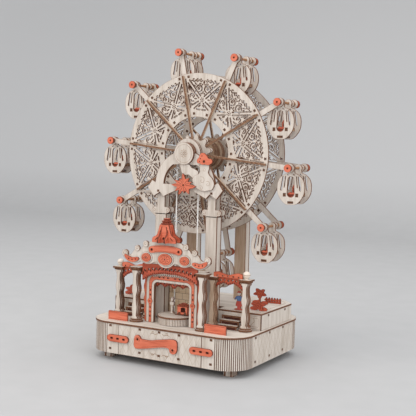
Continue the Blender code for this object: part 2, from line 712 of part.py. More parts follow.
def build_pediment():
    """Baroque pediment, its coral medallions and bare sign, and the bell roof above."""
    foot = DECK_TOP + COLUMN_HEIGHT + 2 * MM
    y = PEDIMENT_Y
    stretch = PEDIMENT_HALF_WIDTH / (61 * MM)
    tall = PEDIMENT_HEIGHT / (32 * MM)
    half = [(x * stretch * MM, z * tall * MM + foot) for x, z in pediment_half()]
    board = sheet([mirrored(half)], (0, y, 0))

    front = y - PLY + BITE
    loops = [[(8.6 * MM * cos(a), foot + 9.5 * MM + 6.2 * MM * sin(a))
              for a in (2 * pi * i / 16 for i in range(16))]]
    for side in (-1, 1):
        loops.append([(side * 26.0 * MM + 6.0 * MM * cos(a), foot + 11 * MM + 4.6 * MM * sin(a))
                      for a in (2 * pi * i / 12 for i in range(12))])
        wing = [(38, 3), (45, 5), (52, 8), (55, 7), (54, 3), (47, 0), (38, -1)]
        loops.append([(side * x * MM, foot + z * MM) for x, z in wing])
    sign = arc(0, foot - 32 * MM, 57 * MM, radians(68), radians(112), 6)
    sign += arc(0, foot - 32 * MM, 50 * MM, radians(112), radians(68), 6)
    loops.append(sign)
    named("pediment", combine(board, [sheet(loops, (0, front, 0))], "UNION"), BIRCH)
    build_bell_roof(foot + PEDIMENT_HEIGHT + MM)


def build_bell_roof(foot):
    """Flared coral bell roof of crossed plates under two rings."""
    y = PEDIMENT_Y
    half = [(0, 0), (16.5, 0), (16, 4), (12.5, 5), (8.5, 11), (6.2, 20), (6, 23.5), (0, 23.5)]
    front = sheet([shift_points(mirrored(scaled(half)), 0, foot + SEAT)], (0, y, 0))
    cross_half = [(0, 0.1), (12, 0.1), (11.5, 4), (9, 5), (7.5, 11), (5.6, 20), (5.4, 23.4), (0, 23.4)]
    cross = sheet([shift_points(mirrored(scaled(cross_half)), y, foot + SEAT)], (0, 0, 0), "side")
    top = foot + 23.5 * MM + SEAT - BITE
    rings = turned([(0, 7 * MM), (4.5 * MM, 7 * MM), (4.5 * MM, 4 * MM), (6.5 * MM, 3 * MM), (6.5 * MM, 0),
                    (0, 0)], (0, y, top), "up", 12)
    named("roof_bell", combine(front, [cross, rings], "UNION"), CORAL)


def drape(left, right, top, drops):
    """Return a valance outline: straight above, hanging points below."""
    count = len(drops) - 1
    lower = [(left + (right - left) * i / count, top - drop * MM) for i, drop in enumerate(drops)]
    return lower + [(right, top), (left, top)]


def build_valance():
    """Coral lace valance over the entrance, between the front columns' capitals."""
    top = DECK_TOP + COLUMN_HEIGHT - 1.5 * MM
    inner = COLUMN_X - COLUMN_CAP - SEAT
    front = drape(-inner, inner, top, (14, 9, 6, 5, 3.2, 3.6, 3.2, 5, 6, 9, 14))
    named("gate_valance", sheet([front], (0, FRONT + COLUMN_FRONT + PLY / 2, 0)), CORAL)


def build_room():
    """Back wall and ceiling of the room behind the stage."""
    foot = DECK_TOP + SEAT
    y = TOWER_Y + TOWER_SIZE / 2 + SEAT + PLY / 2
    wall = rect(-TOWER_X, foot, TOWER_X, foot + ROOM_HEIGHT)
    named("room_wall", sheet([wall], (0, y, 0)), BIRCH)
    low_y = FRONT + COLUMN_FRONT + PLY + 2 * SEAT
    high_y = TOWER_Y - TOWER_SIZE / 2 - SEAT
    plate = rect(-ARCH_HALF_WIDTH, low_y, ARCH_HALF_WIDTH, high_y)
    top = foot + ARCH_HEIGHT + SEAT
    named("room_ceiling", sheet([plate], (0, 0, top + PLY / 2), "flat"), BIRCH)


def build_standee():
    """Flat printed standee on the platform, a plain outline of a figure."""
    foot = PLATFORM_TOP + SEAT
    shape = [(0, 0), (6, 0), (6, 1.2), (3.2, 2), (4, 5), (3.6, 10), (5.8, 12), (6.4, 16), (3, 15.6),
             (2.6, 17.6), (3, 20), (1.6, 22.4), (0, 22.6)]
    figure = mirrored(scaled(shape))
    x = (COLUMN_X + OUTER_COLUMN_X) / 2 + 4 * MM
    named("standee", sheet([shift_points(figure, x, foot)], (0, PLATFORM_FRONT + 6 * MM, 0)), PRINT)


# Wheel

def panel_cuts(angle):
    """Return the scroll-work of one panel: a cross of struts with crescents between them."""
    middle = angle + SECTOR / 2
    low = HOLE_RADIUS + HOLE_BAND
    high = DISC_RADIUS - DISC_BAND
    unit = (high - low) / 40
    centre = low + (high - low) * 0.32
    strip = 3.6 * unit
    strut = 1.1 * unit
    cuts = []
    outer_half = high * sin(SECTOR / 2) - strip
    top = high * cos(SECTOR / 2)
    for side in (-1, 1):
        cuts.append(crescent(high - 11.5 * unit, side * 9.0 * unit, 6.6 * unit, 2.6 * unit,
                             side * radians(-150), side * radians(100), 4))
        cuts.append([(centre + 7 * unit, side * 1.6 * unit), (high - 19 * unit, side * 1.6 * unit),
                     (high - 17.5 * unit, side * 4.6 * unit)])
        inner_x = low * cos(SECTOR / 2) + 2.5 * unit
        inner_half = low * sin(SECTOR / 2) - strip + unit
        cuts.append([(inner_x + 2.5 * unit, side * inner_half), (centre - unit, side * (4.5 * unit + strut)),
                     (centre + 4 * unit, side * (5.5 * unit + strut)),
                     (centre + 6 * unit, side * (centre + 6 * unit) * 0.325 - side * strip)])
        cuts.append([(centre + 9 * unit, side * (centre + 9 * unit) * 0.325 - side * strip),
                     (centre + 8 * unit, side * 9.4 * unit), (top - 6 * unit, side * (outer_half - 1.5 * unit))])
    cuts.append([(low + unit, -4.2 * unit), (low + unit, 4.2 * unit), (centre - 5.0 * unit, 0)])
    cuts.append([(high - 1.5 * unit, -5.0 * unit), (high - 1.5 * unit, 5.0 * unit), (high - 4.8 * unit, 0)])
    return [turn_points(cut, middle) for cut in cuts]


def build_discs():
    """Front and back filigree discs, with the flat arms that carry the gondolas behind their rims."""
    loops = [circle(0, 0, DISC_RADIUS, 4 * GONDOLAS, FIRST_PIN_ANGLE),
             circle(0, 0, HOLE_RADIUS, 2 * GONDOLAS, FIRST_PIN_ANGLE)]
    for angle in pin_angles():
        loops += panel_cuts(angle)
    loops = [shift_points(loop, 0, HUB_HEIGHT) for loop in loops]
    for row, side in (("front", -1), ("back", 1)):
        plate = sheet(loops, (0, WHEEL_Y + side * (DISC_INNER + PLY / 2), 0))
        thickness = DISC_INNER - ARM_HALF_GAP + BITE
        arms = sheet(arm_loops(), (0, WHEEL_Y + side * (ARM_HALF_GAP + thickness / 2), 0), "front", thickness)
        named(f"disc_{row}", combine(plate, [arms], "UNION"), BIRCH, WHEEL)


def arm_loops():
    """Return flat arms that end in round ears, bored for the gondola axles."""
    root = DISC_RADIUS - DISC_BAND - 2 * MM
    half = ARM_WIDTH / 2
    spread = asin(half / EAR_RADIUS)
    shape = [(root, -half)] + arc(PIN_RADIUS, 0, EAR_RADIUS, spread - pi, pi - spread, 5) + [(root, half)]
    bore = circle(PIN_RADIUS, 0, PIN_SHAFT + 2 * SEAT, 6)
    loops = []
    for angle in pin_angles():
        loops += [turn_points(shape, angle, 0, HUB_HEIGHT), turn_points(bore, angle, 0, HUB_HEIGHT)]
    return loops


def radial_blocks(angle_list, low, high):
    """Return boxes given about the hub along +X, turned to each angle about the hub's axis."""
    plain = block(low, high)
    hub = Matrix.Translation((0, WHEEL_Y, HUB_HEIGHT))
    return [moved(plain, hub @ Matrix.Rotation(-angle, 4, "Y")) for angle in angle_list]


def star_outline():
    """Return the lobed hub star: a valley at every spoke, a round lobe between."""
    points = []
    for angle in pin_angles():
        for share, radius in ((0.0, STAR_VALLEY), (0.24, STAR_VALLEY + 1.5 * MM), (0.36, STAR_LOBE - MM),
                              (0.64, STAR_LOBE - MM), (0.76, STAR_VALLEY + 1.5 * MM)):
            turn = angle + SECTOR * share
            points.append((radius * cos(turn), radius * sin(turn)))
    return points


def build_hub():
    """Spoke fins on edge around hub stars, stepped drum, main axle and the belt pulley."""
    half = FIN_THICKNESS / 2
    bore = circle(0, HUB_HEIGHT, AXLE_RADIUS + SEAT, 12)
    star = shift_points(star_outline(), 0, HUB_HEIGHT)
    for row, side in (("front", -1), ("back", 1)):
        near, far = sorted((side * FIN_INNER, side * (FIN_INNER + FIN_HEIGHT)))
        fins = radial_blocks(pin_angles(), (STAR_VALLEY - MM, near + BITE, -half),
                             (DISC_RADIUS - SEAT, far - BITE, half))
        y = WHEEL_Y + side * (FIN_INNER + FIN_HEIGHT / 2)
        plate = sheet([star, bore], (0, y, 0), "front", FIN_HEIGHT)
        named(f"spokes_{row}", combine(plate, fins, "UNION"), BIRCH, WHEEL)

    inner = AXLE_RADIUS + SEAT
    end = FIN_INNER - SEAT
    collar = DRUM_RADIUS + 3 * MM
    steps = [(inner, end), (12 * MM, end), (12 * MM, 14 * MM), (collar, 14 * MM), (collar, 6 * MM),
             (DRUM_RADIUS, 6 * MM), (DRUM_RADIUS, -8 * MM), (11 * MM, -8 * MM), (11 * MM, -end), (inner, -end)]
    drum = turned(steps, (0, WHEEL_Y, HUB_HEIGHT), "back", 12, closed=True)
    named("hub_drum", drum, DOWEL, WHEEL)

    reach = BRACKET_INNER + BRACKET_THICKNESS - BITE - SEAT
    axle = turned([(0, reach), (AXLE_RADIUS, reach), (AXLE_RADIUS, -reach), (0, -reach)],
                  (0, WHEEL_Y, HUB_HEIGHT), "back", 12)
    named("main_axle", axle, DOWEL, WHEEL, True)

    pulley = pulley_ring(PULLEY_FLANGE, inner, PULLEY_WIDTH)
    named("wheel_pulley", turned(pulley, (0, BELT_Y, HUB_HEIGHT), "back", 16, closed=True), BIRCH, WHEEL, True)


def pulley_ring(flange, inner, width):
    """Return the closed profile of a grooved pulley about its middle."""
    half = width / 2
    groove = BELT_RADIUS + SEAT
    bed = PULLEY_GROOVE - 2 * SEAT
    return [(inner, half), (flange, half), (flange, half - PLY / 2), (bed, groove), (bed, -groove),
            (flange, PLY / 2 - half), (flange, -half), (inner, -half)]


# Gondolas

def cabin_half():
    """Return the right half of a cabin plate, bottom to top, about its axle."""
    wide = CABIN_HALF_WIDTH
    deep = -CABIN_HEIGHT
    points = [(wide * 0.34, deep), (wide * 0.78, deep * 0.82), (wide, deep * 0.58), (wide * 0.93, deep * 0.38),
              (wide * 0.62, deep * 0.21), (wide * 0.2, deep * 0.15)]
    points += arc(0, 0, CABIN_EAR, radians(-20), radians(60), 1)
    return points


def cabin_cuts():
    """Return the door and the two side slots of a cabin plate."""
    deep = -CABIN_HEIGHT
    door = [(-DOOR_HALF_WIDTH, deep * 0.28), (-DOOR_HALF_WIDTH, deep * 0.74),
            (0, deep * 0.83), (DOOR_HALF_WIDTH, deep * 0.74), (DOOR_HALF_WIDTH, deep * 0.28)]
    cuts = [door]
    for side in (-1, 1):
        top = CABIN_HALF_WIDTH * 0.58
        low = CABIN_HALF_WIDTH * 0.7
        cuts.append([(side * (top - 1.5 * MM), deep * 0.29), (side * (top + 1.3 * MM), deep * 0.31),
                     (side * (low + 1.8 * MM), deep * 0.56), (side * (low - 1.6 * MM), deep * 0.56)])
    return cuts


def axle_mesh():
    """Return a gondola's axle, and at each end a collar and a round cap."""
    collar = DISC_INNER + SEAT
    cap = collar + PIN_STAND_OUT
    end = cap + PIN_CAP_THICKNESS
    profile = [(0, end), (PIN_CAP_RADIUS, end), (PIN_CAP_RADIUS, cap), (PIN_COLLAR, cap), (PIN_COLLAR, collar),
               (PIN_SHAFT, collar), (PIN_SHAFT, -collar), (PIN_COLLAR, -collar), (PIN_COLLAR, -cap), (PIN_CAP_RADIUS, -cap),
               (PIN_CAP_RADIUS, -end), (0, -end)]
    return turned(profile, (0, 0, 0), "back", 6)


def cabin_mesh():
    """Return a gondola about its axle: two plates joined by floor bar, seat, backrest and the axle."""
    near = CABIN_FRONT_FROM_MIDDLE
    far = near + CABIN_DEPTH
    loops = [mirrored(cabin_half())] + cabin_cuts()
    front = sheet(loops, (0, near + PLY / 2, 0))
    back = sheet(loops, (0, far - PLY / 2, 0))
    bite = PLY / 2
    low = -CABIN_HEIGHT
    half = SEAT_WIDTH / 2
    wide = DOOR_HALF_WIDTH + SEAT_TAB
    floor = block((-3.2 * MM, near + bite, low * 0.965), (3.2 * MM, far - bite, low * 0.9))
    bench = block((-wide, near + bite, low * 0.78), (wide, far - bite, low * 0.7))
    rest = block((-half, far - PLY - 3 * MM, low * 0.7 - BITE), (half, far - PLY - MM, low * 0.48))
    return combine(front, [back, floor, bench, rest, axle_mesh()], "UNION")


def build_gondolas():
    """Ten hanging gondolas, each fixed on its own axle, which turns in the ears of the arms."""
    cabin = cabin_mesh()
    for number, angle in enumerate(pin_angles(), start=1):
        place = pin_place(angle)
        axis = add_axis(f"gondola_axis_{number:02d}", place)
        named(f"gondola_{number:02d}", moved(cabin, Matrix.Translation(place)), BIRCH, axis)


# Drive: belt, pulley shaft, gears, crank and the turning stage

def crank_x():
    """Return how far beside the drive shaft the crank's shaft runs."""
    return GEAR_MODULE * (GEAR_TEETH + PINION_TEETH) / 2 + GEAR_BACKLASH


def gear_outline(teeth, start):
    """Return a spur gear's outline, a tooth standing at the start angle."""
    pitch = GEAR_MODULE * teeth / 2
    tip = pitch + 0.7 * GEAR_MODULE
    root = pitch - 1.1 * GEAR_MODULE
    step = 2 * pi / teeth
    points = []
    for i in range(teeth):
        middle = start + i * step
        for share, radius in ((-0.5, root), (-0.08, tip), (0.08, tip)):
            turn = middle + share * step
            points.append((radius * cos(turn), radius * sin(turn)))
    return points


def build_belt():
    """White round belt from the wheel's pulley down through the deck to the drive pulley."""
    radius = PULLEY_GROOVE + BELT_RADIUS
    count = 10
    points = arc(0, HUB_HEIGHT, radius, 0, pi, count) + arc(0, DRIVE_HEIGHT, radius, pi, 2 * pi, count)
    curve = bpy.data.curves.new("belt", "CURVE")
    curve.dimensions = "3D"
    curve.bevel_depth = BELT_RADIUS
    curve.bevel_resolution = 1
    spline = curve.splines.new("POLY")
    spline.points.add(len(points) - 1)
    for point, (x, z) in zip(spline.points, points):
        point.co = (x, BELT_Y, z, 1)
    spline.use_cyclic_u = True
    obj = bpy.data.objects.new("belt", curve)
    PARTS.objects.link(obj)
    named("drive_belt", world_mesh(obj), WHITE, None, True)


def build_drive():
    """Drive pulley and gear on one shaft, and the crank with its pinion on the other."""
    inner = CRANK_SHAFT_RADIUS + SEAT
    shaft_front = FRONT + STAGE_BEHIND_FRONT + 4 * MM
    shaft_back = BACK - PLY - 12 * MM
    track = FRONT + STAGE_BEHIND_FRONT + FRICTION_TRACK
    thin = CRANK_SHAFT_RADIUS
    profile = [(0, shaft_back), (thin, shaft_back), (thin, track + PLY / 2), (FRICTION_RADIUS, track + PLY / 2),
               (FRICTION_RADIUS, track - PLY / 2), (thin, track - PLY / 2), (thin, shaft_front),
               (0, shaft_front)]
    named("drive_shaft", turned(profile, (0, 0, DRIVE_HEIGHT), "back", 14), DOWEL, DRIVE, True)
    pulley = turned(pulley_ring(DRIVE_FLANGE, inner, PULLEY_WIDTH), (0, BELT_Y, DRIVE_HEIGHT), "back", 16,
                    closed=True)
    named("drive_pulley", pulley, BIRCH, DRIVE, True)
    gear = shift_points(gear_outline(GEAR_TEETH, 0), 0, DRIVE_HEIGHT)
    bore = circle(0, DRIVE_HEIGHT, inner, 12)
    named("drive_gear", sheet([gear, bore], (0, GEAR_Y, 0), "front", GEAR_THICKNESS), BIRCH, DRIVE)

    build_crank()
    build_bearings()


def build_crank():
    """Crank shaft with its pinion, the arm outside the back wall and the turning knob."""
    x = crank_x()
    inner = CRANK_SHAFT_RADIUS + SEAT
    outside = BACK + DECK_OVERHANG + RUNNING
    arm_back = outside + 2 * PLY
    shaft_front = GEAR_Y - GEAR_THICKNESS
    profile = [(0, arm_back), (CRANK_SHAFT_RADIUS, arm_back), (CRANK_SHAFT_RADIUS, shaft_front),
               (0, shaft_front)]
    shaft = turned(profile, (x, 0, DRIVE_HEIGHT), "back", 12)
    half_tooth = pi / PINION_TEETH
    pinion = shift_points(gear_outline(PINION_TEETH, pi + half_tooth), x, DRIVE_HEIGHT)
    bore = circle(x, DRIVE_HEIGHT, inner, 12)
    gear = sheet([pinion], (0, GEAR_Y, 0), "front", GEAR_THICKNESS + MM)
    named("crank_shaft", combine(gear, [shaft], "UNION"), DOWEL, CRANK)
    half = 4.2 * MM
    tip = DRIVE_HEIGHT + CRANK_ARM
    arm = arc(x, DRIVE_HEIGHT, half, pi, 2 * pi, 6) + arc(x, tip, half, 0, pi, 6)
    pin = circle(x, tip, PIN_SHAFT + SEAT, 8)
    named("crank_arm", sheet([arm, bore, pin], (0, outside + PLY, 0), "front", 2 * PLY), BIRCH, CRANK)
    knob_y = arm_back + SEAT
    knob = [(0, KNOB_LENGTH), (KNOB_RADIUS * 0.7, KNOB_LENGTH), (KNOB_RADIUS, KNOB_LENGTH * 0.75),
            (KNOB_RADIUS * 0.8, 0), (PIN_SHAFT, 0), (PIN_SHAFT, -2 * PLY), (0, -2 * PLY)]
    named("crank_knob", turned(knob, (x, knob_y, tip), "back", 12), CORAL, KNOB, True)


def build_bearings():
    """Two upright plates inside the base that carry the shafts."""
    foot = FOOT_HEIGHT + PLY + SEAT
    top = DECK_BOTTOM - SEAT
    hole = CRANK_SHAFT_RADIUS + SEAT
    x = crank_x()
    drive = circle(0, DRIVE_HEIGHT, hole, 12)
    crank = circle(x, DRIVE_HEIGHT, hole, 12)
    outline = rect(-20 * MM, foot, x + 12 * MM, top)
    front = sheet([rect(-12 * MM, foot, 12 * MM, top), drive], (0, BELT_Y + 8 * MM, 0))
    named("bearing_front", front, BIRCH)
    back = sheet([outline, drive, crank], (0, GEAR_Y + GEAR_THICKNESS + PLY, 0))
    named("bearing_rear", back, BIRCH)


def build_stage():
    """Turning stage of a disc and a bent drum wall on its shaft, the coral cart and a plain figure."""
    x, y = 0, FRONT + STAGE_BEHIND_FRONT
    top = DECK_TOP + STAGE_HEIGHT
    low = DECK_TOP + SEAT + 0.2 * MM
    wall = STAGE_RADIUS - 0.7 * MM
    profile = [(0, top), (STAGE_RADIUS, top), (STAGE_RADIUS, top - PLY), (wall, top - PLY), (wall, low),
               (wall - PLY, low), (wall - PLY, top - PLY), (STAGE_SHAFT + SEAT, top - PLY),
               (STAGE_SHAFT + SEAT, top - 1.5 * PLY), (0, top - 1.5 * PLY)]
    named("stage_table", turned(profile, (x, y, 0), "up", 18), BIRCH, STAGE, True)
    wheel_top = DRIVE_HEIGHT + FRICTION_RADIUS + SEAT
    end = top - 1.5 * PLY - SEAT
    foot = wheel_top
    profile = [(0, end), (STAGE_SHAFT, end), (STAGE_SHAFT, wheel_top + PLY), (FRICTION_DISC, wheel_top + PLY),
               (FRICTION_DISC, foot), (0, foot)]
    named("stage_shaft", turned(profile, (x, y, 0), "up", 14), DOWEL, STAGE, True)

    foot = top + SEAT
    cart = [(2, 0), (17, 0), (17, 3), (15, 4), (15.5, 12), (9, 14.5), (4, 12), (4, 4), (2, 3)]
    box = sheet([scaled(cart, x, foot)], (0, y + 2 * MM, 0), "front", 9 * MM)
    named("stage_cart", box, CORAL, STAGE)
    shape = [(0, 0), (3.4, 0), (3, 1.4), (1.8, 2), (2.4, 6), (2, 10), (3.6, 11.4), (3.4, 14), (1.8, 14),
             (1.8, 15), (2.5, 18), (1.4, 20), (0, 20.2)]
    person = shift_points(mirrored(scaled(shape)), -6.5 * MM, foot)
    named("stage_figure", sheet([person], (0, y + 1 * MM, 0)), BIRCH, STAGE)


def clear_scene():
    """Remove every object that the file starts with."""
    for obj in list(bpy.data.objects):
        bpy.data.objects.remove(obj)


clear_scene()
PARTS = make_collection("wooden_ferris_wheel")
CUTTERS = make_collection("cutters")
WHEEL = add_axis("wheel_axis", (0, WHEEL_Y, HUB_HEIGHT))
DRIVE = add_axis("drive_axis", (0, BELT_Y, DRIVE_HEIGHT))
CRANK = add_axis("crank_axis", (crank_x(), BACK, DRIVE_HEIGHT))
KNOB = add_axis("knob_axis", (crank_x(), BACK, DRIVE_HEIGHT + CRANK_ARM))
STAGE = add_axis("stage_axis", (0, FRONT + STAGE_BEHIND_FRONT, DECK_TOP))
build_base()
build_front_plates()
build_platform()
build_towers()
build_brackets()
build_bracket_ornaments()
build_columns()
build_arch()
build_pediment()
build_valance()
build_room()
build_standee()
build_discs()
build_hub()
build_gondolas()
build_belt()
build_drive()
build_stage()
bpy.context.view_layer.update()
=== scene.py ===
"""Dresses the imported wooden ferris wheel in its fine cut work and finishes, under a studio's light.

Sizes are in millimetres in the model's own frame, with +X to the right, +Y to the back and +Z up.
A piece is turned to metres once, when its mesh is made.
"""

import logging
from collections.abc import Callable
from dataclasses import dataclass
from enum import Enum
from math import asin, cos, hypot, pi, radians, sin
from typing import Any

import bpy
import numpy as np
from mathutils import Matrix, Vector
from mathutils.geometry import delaunay_2d_cdt

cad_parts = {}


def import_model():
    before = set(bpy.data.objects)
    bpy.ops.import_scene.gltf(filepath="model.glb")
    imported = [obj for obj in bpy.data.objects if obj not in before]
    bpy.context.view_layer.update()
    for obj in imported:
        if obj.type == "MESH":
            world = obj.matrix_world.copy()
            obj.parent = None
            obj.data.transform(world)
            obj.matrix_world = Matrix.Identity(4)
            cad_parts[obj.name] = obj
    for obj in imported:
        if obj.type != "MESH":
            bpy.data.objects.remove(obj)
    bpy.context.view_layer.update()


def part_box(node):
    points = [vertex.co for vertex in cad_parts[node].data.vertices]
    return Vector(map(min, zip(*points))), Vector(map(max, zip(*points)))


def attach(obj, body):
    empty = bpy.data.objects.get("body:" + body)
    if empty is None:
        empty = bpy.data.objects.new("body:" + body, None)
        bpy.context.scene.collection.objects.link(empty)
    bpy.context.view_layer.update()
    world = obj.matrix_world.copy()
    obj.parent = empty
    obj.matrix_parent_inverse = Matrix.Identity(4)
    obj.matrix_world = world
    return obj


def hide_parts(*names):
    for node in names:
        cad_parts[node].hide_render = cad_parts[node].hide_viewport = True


Point = tuple[float, float]
Loop = list[Point]
Space = tuple[float, float, float]
Face = tuple[int, ...]
Tree = bpy.types.NodeTree
Socket = bpy.types.NodeSocket
Material = bpy.types.Material

MM = 0.001
PLY = 2.0
GONDOLAS = 10
SECTOR = 2 * pi / GONDOLAS
FIRST_PIN = radians(-6.25)
HUB_Z = 250.0
PIN_CIRCLE = 125.0
WHEEL_Y = 3.8
DECK_Z = 47.6
RIM = 0.3
ENGRAVED = 0.12
SHARP = radians(35)
AT_HUB = Matrix.Translation((0, 0, HUB_Z))
SIDES = (("left", -1), ("right", 1))
CORNERS = ((1, -1, -pi / 2), (1, 1, 0), (-1, 1, pi / 2), (-1, -1, pi))

log = logging.getLogger("ferris_wheel")


class Axis(Enum):
    """An axis of the model's frame, by its index."""

    X = 0
    Y = 1
    Z = 2


class Facing(Enum):
    """How a flat-cut plate stands, named for where its face looks."""

    FRONT = ((1, 0, 0), (0, 0, -1), (0, 1, 0))
    SIDE = ((0, 0, 1), (1, 0, 0), (0, 1, 0))
    FLAT = ((1, 0, 0), (0, 1, 0), (0, 0, 1))

    @property
    def across(self) -> Axis:
        """Return the axis that the plate's thickness runs along."""
        return {"FRONT": Axis.Y, "SIDE": Axis.X, "FLAT": Axis.Z}[self.name]

    def stand(self, at: float, turn: Matrix | None) -> Matrix:
        """Return how a plate is stood up with its middle at a place, then moved by a turn.

        Args:
            at: Place of the middle along the thickness.
            turn: Where it is moved to after it stands.

        Returns:
            The whole move.
        """
        place = [0.0, 0.0, 0.0]
        place[self.across.value] = at
        stood = Matrix.Translation(place) @ Matrix(self.value).to_4x4()
        return turn @ stood if turn is not None else stood


# Colour and shader nodes

def linear(colour: str) -> tuple[float, float, float, float]:
    """Turn an sRGB hex colour to linear light.

    Args:
        colour: Six hex digits.

    Returns:
        Red, green, blue and a full alpha.
    """
    parts = [int(colour[i:i + 2], 16) / 255 for i in (0, 2, 4)]
    lit = [p / 12.92 if p <= 0.04045 else ((p + 0.055) / 1.055) ** 2.4 for p in parts]
    return (lit[0], lit[1], lit[2], 1)


def add_node(tree: Tree, kind: str, inputs: dict[Any, Any] | None = None,
             stops: tuple[tuple[float, str], ...] = (), **settings: Any) -> bpy.types.Node:
    """Add one shader node with its settings and links.

    Args:
        tree: The material's node tree.
        kind: The node's type.
        inputs: Socket name or number, to a value or to the socket that feeds it.
        stops: Place and sRGB hex colour of each stop of a colour ramp, in order.
        settings: The node's own properties.

    Returns:
        The new node.
    """
    node = tree.nodes.new(kind)
    for key, value in settings.items():
        setattr(node, key, value)
    for key, value in (inputs or {}).items():
        if isinstance(value, Socket):
            tree.links.new(value, node.inputs[key])
        else:
            node.inputs[key].default_value = value
    if stops:
        points = node.color_ramp.elements
        while len(points) < len(stops):
            points.new(0.5)
        for point, (place, colour) in zip(points, stops):
            point.position = place
            point.color = linear(colour)
    return node


def grained(tree: Tree, along: Axis, run: float, spacing: float, detail: float) -> Socket:
    """Return wood streaks that run along one axis.

    Args:
        tree: The material's node tree.
        along: Axis that the grain runs along.
        run: Length of a streak in millimetres.
        spacing: Distance between streaks in millimetres.
        detail: Octaves of finer streaks.

    Returns:
        The streaks, from 0 to 1.
    """
    scale = [1 / (spacing * MM)] * 3
    scale[along.value] = 1 / (run * MM)
    place = add_node(tree, "ShaderNodeTexCoord").outputs["Object"]
    stretched = add_node(tree, "ShaderNodeMapping", {"Vector": place, "Scale": scale})
    noise = add_node(tree, "ShaderNodeTexNoise", {"Vector": stretched.outputs[0], "Scale": 1,
                                                  "Detail": detail, "Roughness": 0.55})
    return noise.outputs["Fac"]


def blank_material(title: str, roughness: float) -> Material:
    """Return a new material with the usual shader and a roughness.

    Args:
        title: The material's name.
        roughness: How matt it is, from 0 to 1.

    Returns:
        The material.
    """
    made = bpy.data.materials.new(title)
    made.use_nodes = True
    made.node_tree.nodes["Principled BSDF"].inputs["Roughness"].default_value = roughness
    return made


def wire(tree: Tree, colour: Socket, height: Socket, strength: float, depth: float) -> None:
    """Feed a material's shader.

    Args:
        tree: The material's node tree.
        colour: The surface's colour.
        height: The pattern that the surface is raised by.
        strength: Strength of the bump.
        depth: The pattern's height in millimetres.
    """
    shader = tree.nodes["Principled BSDF"]
    bump = add_node(tree, "ShaderNodeBump", {"Height": height, "Strength": strength, "Distance": depth * MM})
    tree.links.new(colour, shader.inputs["Base Color"])
    tree.links.new(bump.outputs[0], shader.inputs["Normal"])


class Part(Enum):
    """Which surfaces of a cut sheet a material is for."""

    FACE = "face"
    EDGE = "edge"
    RIM = "rim"
    WHOLE = "whole"


@dataclass(frozen=True)
class PlyFinish:
    """Laser-cut plywood: sanded veneer faces and the charred edge that the beam leaves.

    The eye gets a satin face with fine streaks, and brown edges with the plies as thin lines.
    """

    name: str
    pale: str
    middle: str
    deep: str
    roughness: float
    char: str = "3D2012"
    scorch: str = "7A4A2B"
    streak: float = 0.7
    run: float = 16.0
    ply: float = 0.67

    def face_colour(self, tree: Tree, grain: Axis) -> Socket:
        """Return the veneer's colour: fine streaks over wide, soft bands.

        Args:
            tree: The material's node tree.
            grain: Axis that the grain runs along.

        Returns:
            The colour's socket.
        """
        fine = grained(tree, grain, self.run, self.streak, 3)
        wide = grained(tree, grain, self.run * 3, self.streak * 9, 1)
        blend = add_node(tree, "ShaderNodeMath", {0: fine, 1: wide}, operation="ADD")
        half = add_node(tree, "ShaderNodeMath", {0: blend.outputs[0], 1: 0.5}, operation="MULTIPLY")
        stops = ((0.36, self.deep), (0.48, self.middle), (0.6, self.pale))
        return add_node(tree, "ShaderNodeValToRGB", {0: half.outputs[0]}, stops).outputs[0]

    def edge_colour(self, tree: Tree, across: Axis) -> Socket:
        """Return the charred edge's colour: plies across the sheet, uneven scorching along it.

        Args:
            tree: The material's node tree.
            across: Axis of the sheet's thickness.

        Returns:
            The colour's socket.
        """
        place = add_node(tree, "ShaderNodeTexCoord").outputs["Object"]
        split = add_node(tree, "ShaderNodeSeparateXYZ", {0: place}).outputs[across.value]
        turns = add_node(tree, "ShaderNodeMath", {0: split, 1: 2 * pi / (self.ply * MM)}, operation="MULTIPLY")
        wave = add_node(tree, "ShaderNodeMath", {0: turns.outputs[0]}, operation="SINE")
        blotch = add_node(tree, "ShaderNodeTexNoise", {"Vector": place, "Scale": 1 / (1.6 * MM), "Detail": 2.0})
        mix = add_node(tree, "ShaderNodeMath", {0: wave.outputs[0], 1: 0.16, 2: blotch.outputs["Fac"]},
                       operation="MULTIPLY_ADD")
        stops = ((0.3, self.char), (0.72, self.scorch))
        return add_node(tree, "ShaderNodeValToRGB", {0: mix.outputs[0]}, stops).outputs[0]

    def material(self, part: Part, across: Axis, grain: Axis) -> Material:
        """Return the material for some surfaces of a sheet, made once.

        Args:
            part: The surfaces it is for.
            across: Axis of the sheet's thickness.
            grain: Axis that the veneer's grain runs along.

        Returns:
            The material.
        """
        title = f"{self.name}_{part.value}_{across.name.lower()}{grain.name.lower()}"
        found = bpy.data.materials.get(title)
        if found:
            return found
        made = blank_material(title, self.roughness if part is not Part.EDGE else 0.85)
        tree = made.node_tree
        if part is Part.EDGE:
            colour = self.edge_colour(tree, across)
        elif part is Part.FACE:
            colour = self.face_colour(tree, grain)
        elif part is Part.RIM:
            face, burnt = self.face_colour(tree, grain), linear(self.scorch)
            colour = add_node(tree, "ShaderNodeMix", {0: 0.6, 6: face, 7: burnt}, data_type="RGBA").outputs[2]
        else:
            normal = add_node(tree, "ShaderNodeTexCoord").outputs["Normal"]
            lean = add_node(tree, "ShaderNodeSeparateXYZ", {0: normal}).outputs[across.value]
            flat = add_node(tree, "ShaderNodeMath", {0: lean}, operation="ABSOLUTE")
            is_face = add_node(tree, "ShaderNodeMath", {0: flat.outputs[0], 1: 0.7}, operation="GREATER_THAN")
            edge, face = self.edge_colour(tree, across), self.face_colour(tree, grain)
            picked = {0: is_face.outputs[0], 6: edge, 7: face}
            colour = add_node(tree, "ShaderNodeMix", picked, data_type="RGBA").outputs[2]
        wire(tree, colour, grained(tree, grain, self.run, self.streak, 4), 0.25, 0.06)
        return made


